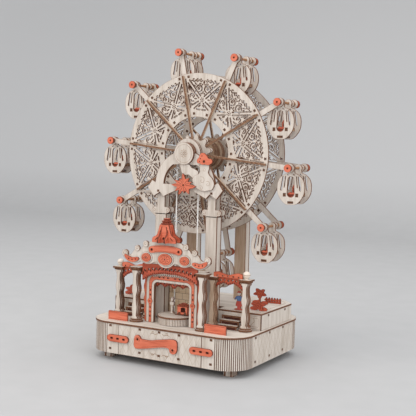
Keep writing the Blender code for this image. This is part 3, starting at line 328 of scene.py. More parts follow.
@dataclass(frozen=True)
class TurnedFinish:
    """Turned or moulded round stock: an even tone with fine rings or streaks along it.

    The eye gets a soft sheen on the rounds and small changes of tone.
    """

    name: str
    pale: str
    deep: str
    roughness: float
    streak: float = 0.5
    run: float = 10.0

    def material(self, along: Axis) -> Material:
        """Return the material with its grain along an axis, made once.

        Args:
            along: Axis that the grain runs along.

        Returns:
            The material.
        """
        title = f"{self.name}_{along.name.lower()}"
        found = bpy.data.materials.get(title)
        if found:
            return found
        made = blank_material(title, self.roughness)
        tree = made.node_tree
        streaks = grained(tree, along, self.run, self.streak, 3)
        stops = ((0.35, self.deep), (0.62, self.pale))
        colour = add_node(tree, "ShaderNodeValToRGB", {0: streaks}, stops).outputs[0]
        wire(tree, colour, streaks, 0.2, 0.05)
        return made


# Birch plywood, sanded: almost white veneer, faintly warm, with hair-thin streaks.
BIRCH = PlyFinish("birch_plywood", "D2C8BD", "C8BDB1", "B6A99B", 0.6, "512E1C", "7F5438")
# The same plywood darker and yellower, as painted shade for the parts that stand in the shade of the works.
BIRCH_SHADED = PlyFinish("birch_plywood_warm", "CBB69F", "BCA289", "A5886C", 0.62, "5E3E2B", "946F53")
# Birch panel of the little room behind the arch, brighter and warmer than the birch as painted bounce light between
# its walls.
BIRCH_BOUNCE_LIT = PlyFinish("birch_plywood_tanned", "F0DBBD", "EAD2B0", "D8BC98", 0.62, "5E3E2B", "946F53")
# Birch plywood screen printed in coral red: an even, slightly chalky coat that still shows the grain.
CORAL = PlyFinish("coral_printed_plywood", "D67456", "CC6849", "B85539", 0.55, "4A2012", "8C3B20", 0.6, 12)
# The same coat darker and redder: painted shade on the laces of the gate, and the deeper coral of the garden.
DEEP_CORAL_AND_SHADE = PlyFinish("deep_coral_plywood", "C25A3C", "B54E32", "9C4028", 0.6, "421C10", "7A341C", 0.6, 12)
# Walnut-stained plywood of the drum, cut by the same beam.
SMOKED = PlyFinish("smoked_plywood", "A98A6C", "94735A", "785A42", 0.65, "3A2012", "6E482E", 0.8, 14)
# Tab ends and recesses burnt almost black brown.
BURNT = PlyFinish("burnt_plywood", "6E4A33", "5E3D29", "4A2D1C", 0.82, "3A2012", "5E3D29", 0.5, 2)
# The bottom of a hole in a coral plate, and other gaps: a dark sheet of painted shade.
PAINTED_HOLE_SHADE = PlyFinish("sooty_recess", "56281A", "471E12", "35150C", 0.9, "2A100A", "471E12", 0.5, 2)
# The standee's prints, a brick red and a slate blue ink, flat but for the grain under them.
PRINT_RED = PlyFinish("red_printed_plywood", "BE5146", "B0463C", "9A3A32", 0.5, "5A3522", "9A6A48")
PRINT_BLUE = PlyFinish("blue_printed_plywood", "5C7AA6", "4F6C98", "415B84", 0.5, "5A3522", "9A6A48")
# Beech dowel, oiled: darker and denser than the sheets.
DOWEL = TurnedFinish("beech_dowel", "A87850", "7E5333", 0.5)
# Charred tab ends that fill the slots of the walls; in the bell cap's hole and the flower's middle their near black is
# painted shade of the hole.
CHARRED_END_AND_HOLE_SHADE = TurnedFinish("charred_tab_end", "6E4226", "38200F", 0.85, 0.4, 0.9)
# Scorched engraving, a line of light brown soot.
SCORCH = TurnedFinish("scorched_engraving", "9A7048", "75502F", 0.8, 0.5, 4)
# Light engraving that only tans the veneer.
FAINT = TurnedFinish("faint_engraving", "BBA994", "AB9781", 0.75, 0.5, 4)
# Birch turned to balls, sanded smooth.
TURNED = TurnedFinish("turned_birch", "E2D6C9", "D2C2B1", 0.45, 0.5, 8)
# Thin coral cut work behind the arch, seen in shade.
TINT = TurnedFinish("shaded_coral_cut", "B9644A", "94492F", 0.7, 0.5, 4)
# Dark engraving in the coral coat, down to the scorched wood.
SOOT = TurnedFinish("sooty_engraving", "7A3420", "4E2012", 0.8, 0.5, 4)
# Round elastic cord of the belt, woven white.
CORD = TurnedFinish("woven_elastic_cord", "F2F0EC", "D5D2CC", 0.7, 0.5, 0.9)


# Flat outlines

def polar(radius: float, turn: float) -> Point:
    """Return the point at a radius and an angle in radians."""
    return (radius * cos(turn), radius * sin(turn))


def shifted(points: Loop, x: float, y: float) -> Loop:
    """Return shifted points."""
    return [(px + x, py + y) for px, py in points]


def ellipse(x: float, y: float, wide: float, high: float, count: int = 32) -> Loop:
    """Return an oval outline."""
    return [(x + wide * cos(2 * pi * i / count), y + high * sin(2 * pi * i / count)) for i in range(count)]


def circle(x: float, y: float, radius: float, count: int) -> Loop:
    """Return a round outline."""
    return ellipse(x, y, radius, radius, count)


def arc(x: float, y: float, radius: float, start: float, end: float, count: int) -> Loop:
    """Return the points of an arc in radians, both ends included."""
    return shifted([polar(radius, start + (end - start) / count * i) for i in range(count + 1)], x, y)


def rect(left: float, bottom: float, right: float, top: float) -> Loop:
    """Return a rectangular outline."""
    return [(left, bottom), (right, bottom), (right, top), (left, top)]


def turned_loop(points: Loop, angle: float) -> Loop:
    """Return points turned about the origin."""
    return [(x * cos(angle) - y * sin(angle), x * sin(angle) + y * cos(angle)) for x, y in points]


def mirror(points: Loop) -> Loop:
    """Return the points' mirror image across the upright axis."""
    return [(-x, y) for x, y in reversed(points)]


def handed(points: Loop, way: int) -> Loop:
    """Return an outline, or its mirror image where the way is negative."""
    return points if way > 0 else mirror(points)


def symmetric(right_half: Loop) -> Loop:
    """Return the closed outline whose right half runs from bottom to top."""
    return [p for p in right_half if abs(p[0]) > 1e-6] + [p for p in mirror(right_half) if abs(p[0]) > 1e-6]


def signed_area(loop: Loop) -> float:
    """Return the area inside an outline, negative where it runs clockwise."""
    return sum(a[0] * b[1] - b[0] * a[1] for a, b in zip(loop, loop[1:] + loop[:1])) / 2


def smooth_curve(points: Loop, closed: bool = False, per_span: int = 4) -> Loop:
    """Return a smooth line through points.

    Args:
        points: The points that it passes.
        closed: Whether it ends where it starts.
        per_span: New points between each pair.

    Returns:
        The line's points.
    """
    count = len(points)
    made: Loop = []
    for i in range(count if closed else count - 1):
        near = [points[(i + k) % count] if closed else points[min(max(i + k, 0), count - 1)]
                for k in (-1, 0, 1, 2)]
        for step in range(per_span):
            t = step / per_span
            weights = (-t ** 3 + 2 * t ** 2 - t, 3 * t ** 3 - 5 * t ** 2 + 2,
                       -3 * t ** 3 + 4 * t ** 2 + t, t ** 3 - t ** 2)
            made.append((sum(w * p[0] for w, p in zip(weights, near)) / 2,
                         sum(w * p[1] for w, p in zip(weights, near)) / 2))
    if not closed:
        made.append(points[-1])
    return made


def thinned(loop: Loop, slack: float) -> Loop:
    """Drop the points of a closed outline that stand within a slack of their neighbours' line.

    Args:
        loop: The outline.
        slack: Largest distance of a dropped point, in millimetres.

    Returns:
        The outline with fewer points.
    """
    line = np.array(loop + loop[:1])
    keep = {0, len(loop) // 2, len(loop)}
    spans = [(0, len(loop) // 2), (len(loop) // 2, len(loop))]
    while spans:
        low, high = spans.pop()
        if high - low < 2:
            continue
        run = line[high] - line[low]
        away = line[low + 1:high] - line[low]
        length = hypot(*run)
        far = np.abs(run[0] * away[:, 1] - run[1] * away[:, 0]) / length if length else np.hypot(*away.T)
        best = int(far.argmax())
        if far[best] > slack:
            middle = low + 1 + best
            keep.add(middle)
            spans += [(low, middle), (middle, high)]
    return [loop[i] for i in sorted(keep) if i < len(loop)]


class Tracing:
    """A fine grid on which strokes are drawn and run together, to be traced as cut outlines."""

    OUTSIDE = 5.0
    MARGIN = 1.0
    STEPS = {1: ((0, 3),), 2: ((1, 0),), 4: ((2, 1),), 8: ((3, 2),), 3: ((1, 3),), 6: ((2, 0),), 12: ((3, 1),),
             9: ((0, 2),), 5: ((0, 3), (2, 1)), 10: ((1, 0), (3, 2)), 7: ((2, 3),), 11: ((1, 2),),
             13: ((0, 1),), 14: ((3, 0),)}

    def __init__(self, left: float, bottom: float, right: float, top: float, pitch: float = 0.25) -> None:
        """Lay the grid.

        Args:
            left: Lowest first coordinate.
            bottom: Lowest second coordinate.
            right: Highest first coordinate.
            top: Highest second coordinate.
            pitch: Grid spacing.
        """
        self.left, self.bottom, self.pitch = left, bottom, pitch
        self.u = np.arange(left, right + pitch, pitch)
        self.v = np.arange(bottom, top + pitch, pitch)
        self.height = np.full((len(self.u), len(self.v)), self.OUTSIDE)

    def dab(self, x: float, y: float, radius: float) -> None:
        """Draw one round dab.

        Args:
            x: First coordinate of its middle.
            y: Second coordinate of its middle.
            radius: Its radius.
        """
        reach = radius + self.MARGIN
        i, j = np.searchsorted(self.u, (x - reach, x + reach)), np.searchsorted(self.v, (y - reach, y + reach))
        if i[0] == i[1] or j[0] == j[1]:
            return
        far = np.hypot(self.u[i[0]:i[1], None] - x, self.v[None, j[0]:j[1]] - y) - radius
        window = self.height[i[0]:i[1], j[0]:j[1]]
        np.minimum(window, far, out=window)

    def stroke(self, points: Loop, start: float, middle: float, end: float) -> None:
        """Draw a line whose width changes along it.

        Args:
            points: The line's points.
            start: Width at its start.
            middle: Width halfway.
            end: Width at its end.
        """
        line = np.array(points)
        gaps = np.hypot(*np.diff(line, axis=0).T)
        along = np.concatenate(([0.0], np.cumsum(gaps)))
        for place in np.linspace(0, along[-1], max(2, int(along[-1] / (self.pitch * 0.8)))):
            t = place / along[-1]
            width = np.interp(t, (0, 0.5, 1), (start, middle, end))
            x, y = (float(np.interp(place, along, line[:, k])) for k in (0, 1))
            self.dab(x, y, width / 2)

    def loops(self, slack: float = 0.05) -> list[Loop]:
        """Return the outlines of all that was drawn.

        Args:
            slack: How far an outline may stray from its crossings.

        Returns:
            One closed outline for each cut.
        """
        inside = self.height < 0
        code = (inside[:-1, :-1] * 1 + inside[1:, :-1] * 2 + inside[1:, 1:] * 4 + inside[:-1, 1:] * 8)
        follow: dict[tuple[int, int, int], tuple[int, int, int]] = {}
        for i, j in zip(*np.nonzero((code > 0) & (code < 15))):
            sides = ((0, i, j), (1, i + 1, j), (0, i, j + 1), (1, i, j))
            for first, second in self.STEPS[int(code[i, j])]:
                follow[sides[first]] = sides[second]
        made = []
        while follow:
            first, here = follow.popitem()
            loop = [self.crossing(first)]
            while here != first:
                loop.append(self.crossing(here))
                here = follow.pop(here)
            if len(loop) > 7:
                made.append(thinned(loop, slack))
        return [loop for loop in made if len(loop) > 2]

    def crossing(self, side: tuple[int, int, int]) -> Point:
        """Return where a grid line's side crosses the outline.

        Args:
            side: Whether it is upright, and its place on the grid.

        Returns:
            The crossing.
        """
        upright, i, j = side
        other = (i, j + 1) if upright else (i + 1, j)
        low, high = self.height[i, j], self.height[other]
        share = float(low / (low - high)) if low != high else 0.5
        share = min(max(share, 0.02), 0.98)
        x, y = float(self.u[i]), float(self.v[j])
        return (x, y + share * self.pitch) if upright else (x + share * self.pitch, y)


def filled(outlines: list[Loop], marks: list[Loop]) -> tuple[np.ndarray, list[Face]]:
    """Fill outlines with triangles, leaving out the holes in them.

    Args:
        outlines: Outlines and holes, in any order.
        marks: Closed lines on the face that triangles may not cross.

    Returns:
        The points, one row each, and the triangles between them, counter-clockwise.
    """
    ends: list[Vector] = []
    sides: list[tuple[int, int]] = []
    bounds = 0
    for number, loop in enumerate(outlines + marks):
        first = len(ends)
        ends += [Vector(p) for p in loop]
        sides += [(first + i, first + (i + 1) % len(loop)) for i in range(len(loop))]
        if number < len(outlines):
            bounds = len(sides)
    flat, made_sides, faces, _, sources, _ = delaunay_2d_cdt(ends, sides, [], 0, 1e-4)
    cuts = {frozenset(side) for side, source in zip(made_sides, sources) if any(s < bounds for s in source)}
    beside: dict[frozenset[int], list[int]] = {}
    around = [[frozenset(pair) for pair in zip(face, face[1:] + face[:1])] for face in faces]
    for number, pairs in enumerate(around):
        for pair in pairs:
            beside.setdefault(pair, []).append(number)
    solid = {numbers[0]: pair in cuts for pair, numbers in beside.items() if len(numbers) == 1}
    waiting = list(solid)
    while waiting:
        here = waiting.pop()
        for pair in around[here]:
            for other in beside[pair]:
                if other not in solid:
                    solid[other] = solid[here] ^ (pair in cuts)
                    waiting.append(other)
    return np.array([tuple(p) for p in flat]), [tuple(faces[i]) for i in sorted(solid) if solid[i]]


def open_sides(triangles: list[Face]) -> list[tuple[int, int]]:
    """Return the sides that only one triangle has, with the solid on their left."""
    paired = {(a, b) for t in triangles for a, b in zip(t, t[1:] + t[:1])}
    return [(a, b) for a, b in sorted(paired) if (b, a) not in paired]


def rims(plan: np.ndarray, sides: list[tuple[int, int]], width: float) -> list[Loop]:
    """Return the lines that run inside every outline at a small distance.

    Args:
        plan: The points.
        sides: The outlines' sides, with the solid on their left.
        width: The distance.

    Returns:
        One closed line for each outline.
    """
    ahead = dict(sides)
    made: list[Loop] = []
    while ahead:
        first, here = ahead.popitem()
        chain = [first]
        while here != first and here in ahead:
            chain.append(here)
            here = ahead.pop(here)
        if len(chain) < 3:
            continue
        line = plan[chain]
        run = np.roll(line, -1, 0) - line
        run /= np.maximum(np.hypot(*run.T), 1e-9)[:, None]
        left = np.column_stack((-run[:, 1], run[:, 0]))
        before = np.roll(left, 1, 0)
        meet = np.maximum(1 + (left * before).sum(1), 0.5)
        inner = line + (left + before) / meet[:, None] * width
        made.append([tuple(p) for p in inner])
    return made


def spiral(x: float, y: float, outer: float, inner: float, start: float, sweep: float) -> Loop:
    """Return a spiral line from one radius to another, turned through a sweep in degrees.

    Args:
        x: First coordinate of its middle.
        y: Second coordinate of its middle.
        outer: Radius at its start.
        inner: Radius at its end.
        start: Angle of its start, in degrees.
        sweep: Angle that it turns through, in degrees.

    Returns:
        The line's points.
    """
    count = max(6, int(abs(sweep) / 12))
    return shifted([polar(outer + (inner - outer) * i / count, radians(start + sweep * i / count))
                    for i in range(count + 1)], x, y)


# Pieces

@dataclass(frozen=True)
class Sheet:
    """A plywood and the way a plate of it is cut: its finish and grain for each facing."""

    finish: PlyFinish
    facing: Facing
    grain: Axis

    def cut(self, part: Part) -> Material:
        """Return the material of some of its surfaces."""
        return self.finish.material(part, self.facing.across, self.grain)


BOARD = Sheet(BIRCH, Facing.FRONT, Axis.Z)
SIDE_BOARD = Sheet(BIRCH, Facing.SIDE, Axis.Z)
FLAT_BOARD = Sheet(BIRCH, Facing.FLAT, Axis.X)
SHADED_BIRCH_BOARD = Sheet(BIRCH_SHADED, Facing.FRONT, Axis.Z)
BOUNCE_LIT_BOARD = Sheet(BIRCH_BOUNCE_LIT, Facing.FRONT, Axis.X)
RED_BOARD = Sheet(CORAL, Facing.FRONT, Axis.X)
PEG_BOARD = Sheet(BURNT, Facing.FRONT, Axis.X)
DEEP_CORAL_SHADE_BOARD = Sheet(DEEP_CORAL_AND_SHADE, Facing.FRONT, Axis.X)
RED_FLAT = Sheet(CORAL, Facing.FLAT, Axis.X)
HOLE_SHADE_BOARD = Sheet(PAINTED_HOLE_SHADE, Facing.FRONT, Axis.X)


class Piece:
    """One visible piece of the model, gathered from plates, walls, turned parts and engraved lines."""

    def __init__(self, name: str) -> None:
        """Start an empty piece.

        Args:
            name: The piece's name.
        """
        self.name = name
        self.points: list[np.ndarray] = []
        self.faces: list[Face] = []
        self.slots: list[int] = []
        self.rounds: list[bool] = []
        self.materials: list[Material] = []
        self.count = 0

    def slot_of(self, material: Material) -> int:
        """Return the material's place in the piece's list.

        Args:
            material: The material.

        Returns:
            Its place.
        """
        if material not in self.materials:
            self.materials.append(material)
        return self.materials.index(material)

    def add(self, points: np.ndarray, faces: list[Face], material: Material,
            smooth: bool = False, turn: Matrix | None = None) -> None:
        """Add closed geometry.

        Args:
            points: One row of x, y and z for each point.
            faces: Point numbers of each face.
            material: Its material.
            smooth: Whether it is shaded round.
            turn: Where it is moved to.
        """
        rows = np.asarray(points, float)
        if turn is not None:
            rows = rows @ np.array(turn.to_3x3()).T + np.array(turn.translation)
        self.points.append(rows)
        self.faces += [tuple(self.count + k for k in face) for face in faces]
        self.slots += [self.slot_of(material)] * len(faces)
        self.rounds += [smooth] * len(faces)
        self.count += len(rows)

    def plate(self, loops: list[Loop], sheet: Sheet, middle: float, thickness: float = PLY,
              turn: Matrix | None = None, rim: float = RIM) -> None:
        """Add a plate cut from a sheet.

        Args:
            loops: Outlines and holes in the plate's own plane.
            sheet: The sheet it is cut from.
            middle: Place of its middle plane along the thickness.
            thickness: The sheet's thickness.
            turn: Where it is moved to after it stands.
            rim: Width of the scorched rim on its faces, or zero for none.
        """
        plan, triangles = filled(loops, [])
        if rim:
            plan, triangles = filled(loops, rims(plan, open_sides(triangles), rim))
        half = thickness / 2
        stand = sheet.facing.stand(middle, turn)
        first, charred = len(self.slots), sheet.cut(Part.EDGE)
        self.prism(plan, triangles, (-half, half), sheet.cut(Part.FACE), lambda a, b: charred, stand)
        if rim:
            burnt = {a for a, _ in open_sides(triangles)}
            tinted = self.slot_of(sheet.cut(Part.RIM))
            for row, t in enumerate(triangles):
                if not burnt.isdisjoint(t):
                    self.slots[first + row] = self.slots[first + len(triangles) + row] = tinted

    def wall(self, loops: list[Loop], low: float, high: float, kerf: float = 0) -> None:
        """Add a wall bent along a plan, its faces upright and its cut edges above and below.

        Args:
            loops: Outlines and holes of the plan.
            low: Height of its lower edge.
            high: Height of its upper edge.
            kerf: Sides of the plan shorter than this are charred kerfs.
        """
        plan, triangles = filled(loops, [])
        pale, charred = BOARD.cut(Part.FACE), FLAT_BOARD.cut(Part.EDGE)
        self.prism(plan, triangles, (low, high), charred,
                   lambda a, b: charred if hypot(*(plan[b] - plan[a])) < kerf else pale)

    def prism(self, plan: np.ndarray, triangles: list[Face], ends: Point, cap: Material,
              side: Callable[[int, int], Material], turn: Matrix | None = None) -> None:
        """Add a flat shape drawn out to a solid.

        Args:
            plan: The shape's points.
            triangles: The shape's triangles.
            ends: Where it starts and ends along its thickness.
            cap: Material of both flat faces.
            side: Gives the material of the side between two of the points.
            turn: Where it is moved to.
        """
        count = len(plan)
        points = np.vstack([np.column_stack((plan, np.full(count, end))) for end in ends])
        caps = [tuple(count + k for k in t) for t in triangles] + [t[::-1] for t in triangles]
        self.add(points, caps, cap, False, turn)
        first = self.count - 2 * count
        for a, b in open_sides(triangles):
            self.faces.append((first + a, first + b, first + count + b, first + count + a))
            self.slots.append(self.slot_of(side(a, b)))
            self.rounds.append(False)

    def loft(self, rings: np.ndarray, material: Material, smooth: bool, closed: bool = False,
             turn: Matrix | None = None) -> None:
        """Add a skin over a row of rings.

        Args:
            rings: The points of each ring, counter-clockwise about the way ahead.
            material: Its material.
            smooth: Whether it is shaded round.
            closed: Whether the last ring joins the first, else both ends are capped.
            turn: Where it is moved to.
        """
        count, steps = rings.shape[:2]
        faces: list[Face] = []
        for i in range(count if closed else count - 1):
            near, far = i * steps, (i + 1) % count * steps
            faces += [(near + k, near + (k + 1) % steps, far + (k + 1) % steps, far + k) for k in range(steps)]
        if not closed:
            faces += [tuple(reversed(range(steps))), tuple(range((count - 1) * steps, count * steps))]
        self.add(rings.reshape(-1, 3), faces, material, smooth, turn)

    def turned(self, profile: Loop, at: Space, axis: Axis, material: Material, steps: int = 32) -> None:
        """Add a turned part.

        Args:
            profile: Radius and height of each point, from the foot up its outer side.
            at: Where the profile's zero is.
            axis: The axis it is turned about.
            material: Its material.
            steps: Points round it.
        """
        order = {Axis.Z: [0, 1, 2], Axis.Y: [2, 0, 1], Axis.X: [1, 2, 0]}[axis]
        turn = 2 * pi * np.arange(steps) / steps
        radius, height = np.array(profile, float).T[:, :, None]
        rings = np.zeros((len(profile), steps, 3))
        rings[..., order] = np.stack((radius * np.cos(turn), radius * np.sin(turn), height + 0 * turn), -1)
        self.loft(rings + np.array(at), material, True)

    def line(self, points: Loop, at: float, width: float = 0.45, closed: bool = False,
             material: Material | None = None, turn: Matrix | None = None, facing: Facing = Facing.FRONT) -> None:
        """Add an engraved line, as a thin strip let into a face.

        Args:
            points: The line in the face's plane.
            at: The face's place along its normal, with the strip's middle on it.
            width: Width of the line.
            closed: Whether it ends where it starts.
            material: Its material, scorched engraving unless given.
            turn: Where it is moved to after it stands.
            facing: How the face stands.
        """
        path = np.array(points, float)
        ahead = np.roll(path, -1, 0) - np.roll(path, 1, 0)
        if not closed:
            ahead[0], ahead[-1] = path[1] - path[0], path[-1] - path[-2]
        ahead /= np.maximum(np.hypot(*ahead.T), 1e-9)[:, None]
        aside = np.column_stack((-ahead[:, 1], ahead[:, 0])) * width / 2
        rings = np.stack([np.column_stack((path + side * aside, np.full(len(path), rise * ENGRAVED / 2)))
                          for side, rise in ((1, -1), (1, 1), (-1, 1), (-1, -1))], 1)
        self.loft(rings, material or SCORCH.material(Axis.X), False, closed, facing.stand(at, turn))

    def board(self, low: Space, high: Space, sheet: Sheet, rim: float = RIM) -> None:
        """Add a plain board that fills a box between two corners.

        Args:
            low: The box's lowest corner.
            high: Its highest corner.
            sheet: The sheet it is cut from.
            rim: Width of the scorched rim, or zero for none.
        """
        across = sheet.facing.across.value
        u, v = [k for k in range(3) if k != across]
        self.plate([rect(low[u], low[v], high[u], high[v])], sheet, (low[across] + high[across]) / 2,
                   high[across] - low[across], None, rim)

    def finish(self, *replaced: str, slot: str = "birch", body: str = "stand") -> None:
        """Make the piece's object, on its body.

        Args:
            replaced: Nodes of the model that it stands for.
            slot: Not used.
            body: The moving or fixed body it rides on.
        """
        mesh = bpy.data.meshes.new(self.name)
        mesh.from_pydata((np.vstack(self.points) * MM).tolist(), [], self.faces)
        for material in self.materials:
            mesh.materials.append(material)
        mesh.polygons.foreach_set("material_index", self.slots)
        mesh.polygons.foreach_set("use_smooth", self.rounds)
        if any(self.rounds):
            mesh.set_sharp_from_angle(angle=SHARP)
        mesh.update()
        made = linked(self.name, mesh)
        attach(made, body)
        if replaced:
            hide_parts(*replaced)
        log.info("%s: %d faces on %s", self.name, len(self.faces), body)


def linked(name: str, data: Any) -> bpy.types.Object:
    """Return a new object of some data, put in the scene.

    Args:
        name: The object's name.
        data: Its mesh, camera or lamp.

    Returns:
        The object.
    """
    made = bpy.data.objects.new(name, data)
    bpy.context.scene.collection.objects.link(made)
    return made


def dress(node: str, material: Material) -> None:
    """Give a node of the model its finish.

    Args:
        node: The node's name.
        material: Its finish.
    """
    slots = bpy.data.objects[node].data.materials
    slots.clear()
    slots.append(material)
    log.info("%s: dressed in %s", node, material.name)


@dataclass(frozen=True)
class Span:
    """A node's box in millimetres."""

    low: Space
    high: Space

    @classmethod
    def of(cls, node: str) -> "Span":
        """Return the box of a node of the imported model."""
        low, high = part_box(node)
        return cls(tuple(c / MM for c in low), tuple(c / MM for c in high))

    @property
    def middle(self) -> Space:
        """Return the box's middle."""
        return tuple((a + b) / 2 for a, b in zip(self.low, self.high))


# Studio

@dataclass
class Studio:
    """Pale sweep, soft lights and the camera at the photograph's angle."""

    eye: Space = (533.6, -935.6, 260.5)
    aim: Space = (21.8, -24.7, 185.2)
    roll: float = 1.43
    lens: float = 75.3
    sensor: float = 36.0
    lit: Space = (0, 0, 180)
    air: float = 1.12
    sweep_width: float = 6000.0
    sweep_front: float = -2500.0
    sweep_back: float = 1500.0
    sweep_radius: float = 900.0
    sweep_height: float = 3600.0

    def camera(self) -> None:
        """Set the camera where the photograph was taken from."""
        data = bpy.data.cameras.new("view")
        data.lens = self.lens
        data.sensor_width = self.sensor
        eye, aim = Vector(self.eye) * MM, Vector(self.aim) * MM
        ahead = (aim - eye).normalized()
        level = ahead.cross(Vector((0, 0, 1))).normalized()
        above = level.cross(ahead)
        lean = radians(self.roll)
        right = level * cos(lean) + above * sin(lean)
        up = above * cos(lean) - level * sin(lean)
        made = linked("view", data)
        made.matrix_world = Matrix.Translation(eye) @ Matrix((right, up, -ahead)).transposed().to_4x4()
        bpy.context.scene.camera = made

    def light(self, name: str, at: Space, size: float, power: float, colour: str) -> None:
        """Add one soft lamp that looks at the model.

        Args:
            name: The lamp's name.
            at: Where it hangs.
            size: Its diameter.
            power: Its power in watts.
            colour: Its sRGB hex colour.
        """
        data = bpy.data.lights.new(name, "AREA")
        data.shape = "DISK"
        data.size = size * MM
        data.energy = power
        data.color = linear(colour)[:3]
        made = linked(name, data)
        made.location = Vector(at) * MM
        made.rotation_euler = (Vector(self.lit) - Vector(at)).to_track_quat("-Z", "Y").to_euler()

    def sweep(self) -> None:
        """Lay the floor that curves up behind into a backdrop."""
        profile = [(self.sweep_front, 0), (self.sweep_back, 0)]
        profile += [(self.sweep_back + self.sweep_radius * sin(t), self.sweep_radius * (1 - cos(t)))
                    for t in (pi / 2 * i / 16 for i in range(1, 17))]
        profile.append((self.sweep_back + self.sweep_radius, self.sweep_height))
        half = self.sweep_width / 2
        points = [(x * MM, y * MM, z * MM) for y, z in profile for x in (-half, half)]
        faces = [(2 * i, 2 * i + 1, 2 * i + 3, 2 * i + 2) for i in range(len(profile) - 1)]
        mesh = bpy.data.meshes.new("studio_sweep")
        mesh.from_pydata(points, [], faces)
        mesh.shade_smooth()
        made = linked("studio_sweep", mesh)
        paper = blank_material("pale_paper_sweep", 0.9)
        tree = paper.node_tree
        shader = tree.nodes["Principled BSDF"]
        shader.inputs["Specular IOR Level"].default_value = 0.2
        place = add_node(tree, "ShaderNodeTexCoord").outputs["Object"]
        tooth = add_node(tree, "ShaderNodeTexNoise", {"Vector": place, "Scale": 1 / (40 * MM)})
        # The paper's tone changes with height, from the floor's grained grey to a lighter flat grey at 150 mm: painted
        # light and shade that set the backdrop's brightness.
        high = add_node(tree, "ShaderNodeSeparateXYZ", {0: place}).outputs["Z"]
        rise = add_node(tree, "ShaderNodeMapRange", {"Value": high, "From Max": 150 * MM})
        stops = ((0.3, "AFAFAF"), (0.7, "B2B2B2"))
        tone = add_node(tree, "ShaderNodeValToRGB", {0: tooth.outputs["Fac"]}, stops).outputs[0]
        pale = add_node(tree, "ShaderNodeMix", {0: rise.outputs[0], 6: tone, 7: linear("BCBCBC")},
                        data_type="RGBA")
        tree.links.new(pale.outputs[2], shader.inputs["Base Color"])
        mesh.materials.append(paper)

    def build(self) -> None:
        """Make the whole studio."""
        self.camera()
        self.sweep()
        self.light("key", (-700, -1300, 1500), 1700, 15, "FFF9F3")
        self.light("fill", (1300, -900, 700), 1500, 8, "F6F8FF")
        self.light("top", (200, 300, 1700), 2200, 11, "FFFFFF")
        world = bpy.data.worlds.new("studio_air")
        world.use_nodes = True
        air = world.node_tree.nodes["Background"]
        air.inputs["Color"].default_value = linear("F2F3F5")
        air.inputs["Strength"].default_value = self.air
        scene = bpy.context.scene
        scene.world = world
        scene.view_settings.view_transform = "Standard"
        log.info("studio: camera, sweep, three lamps and air")


# Wheel

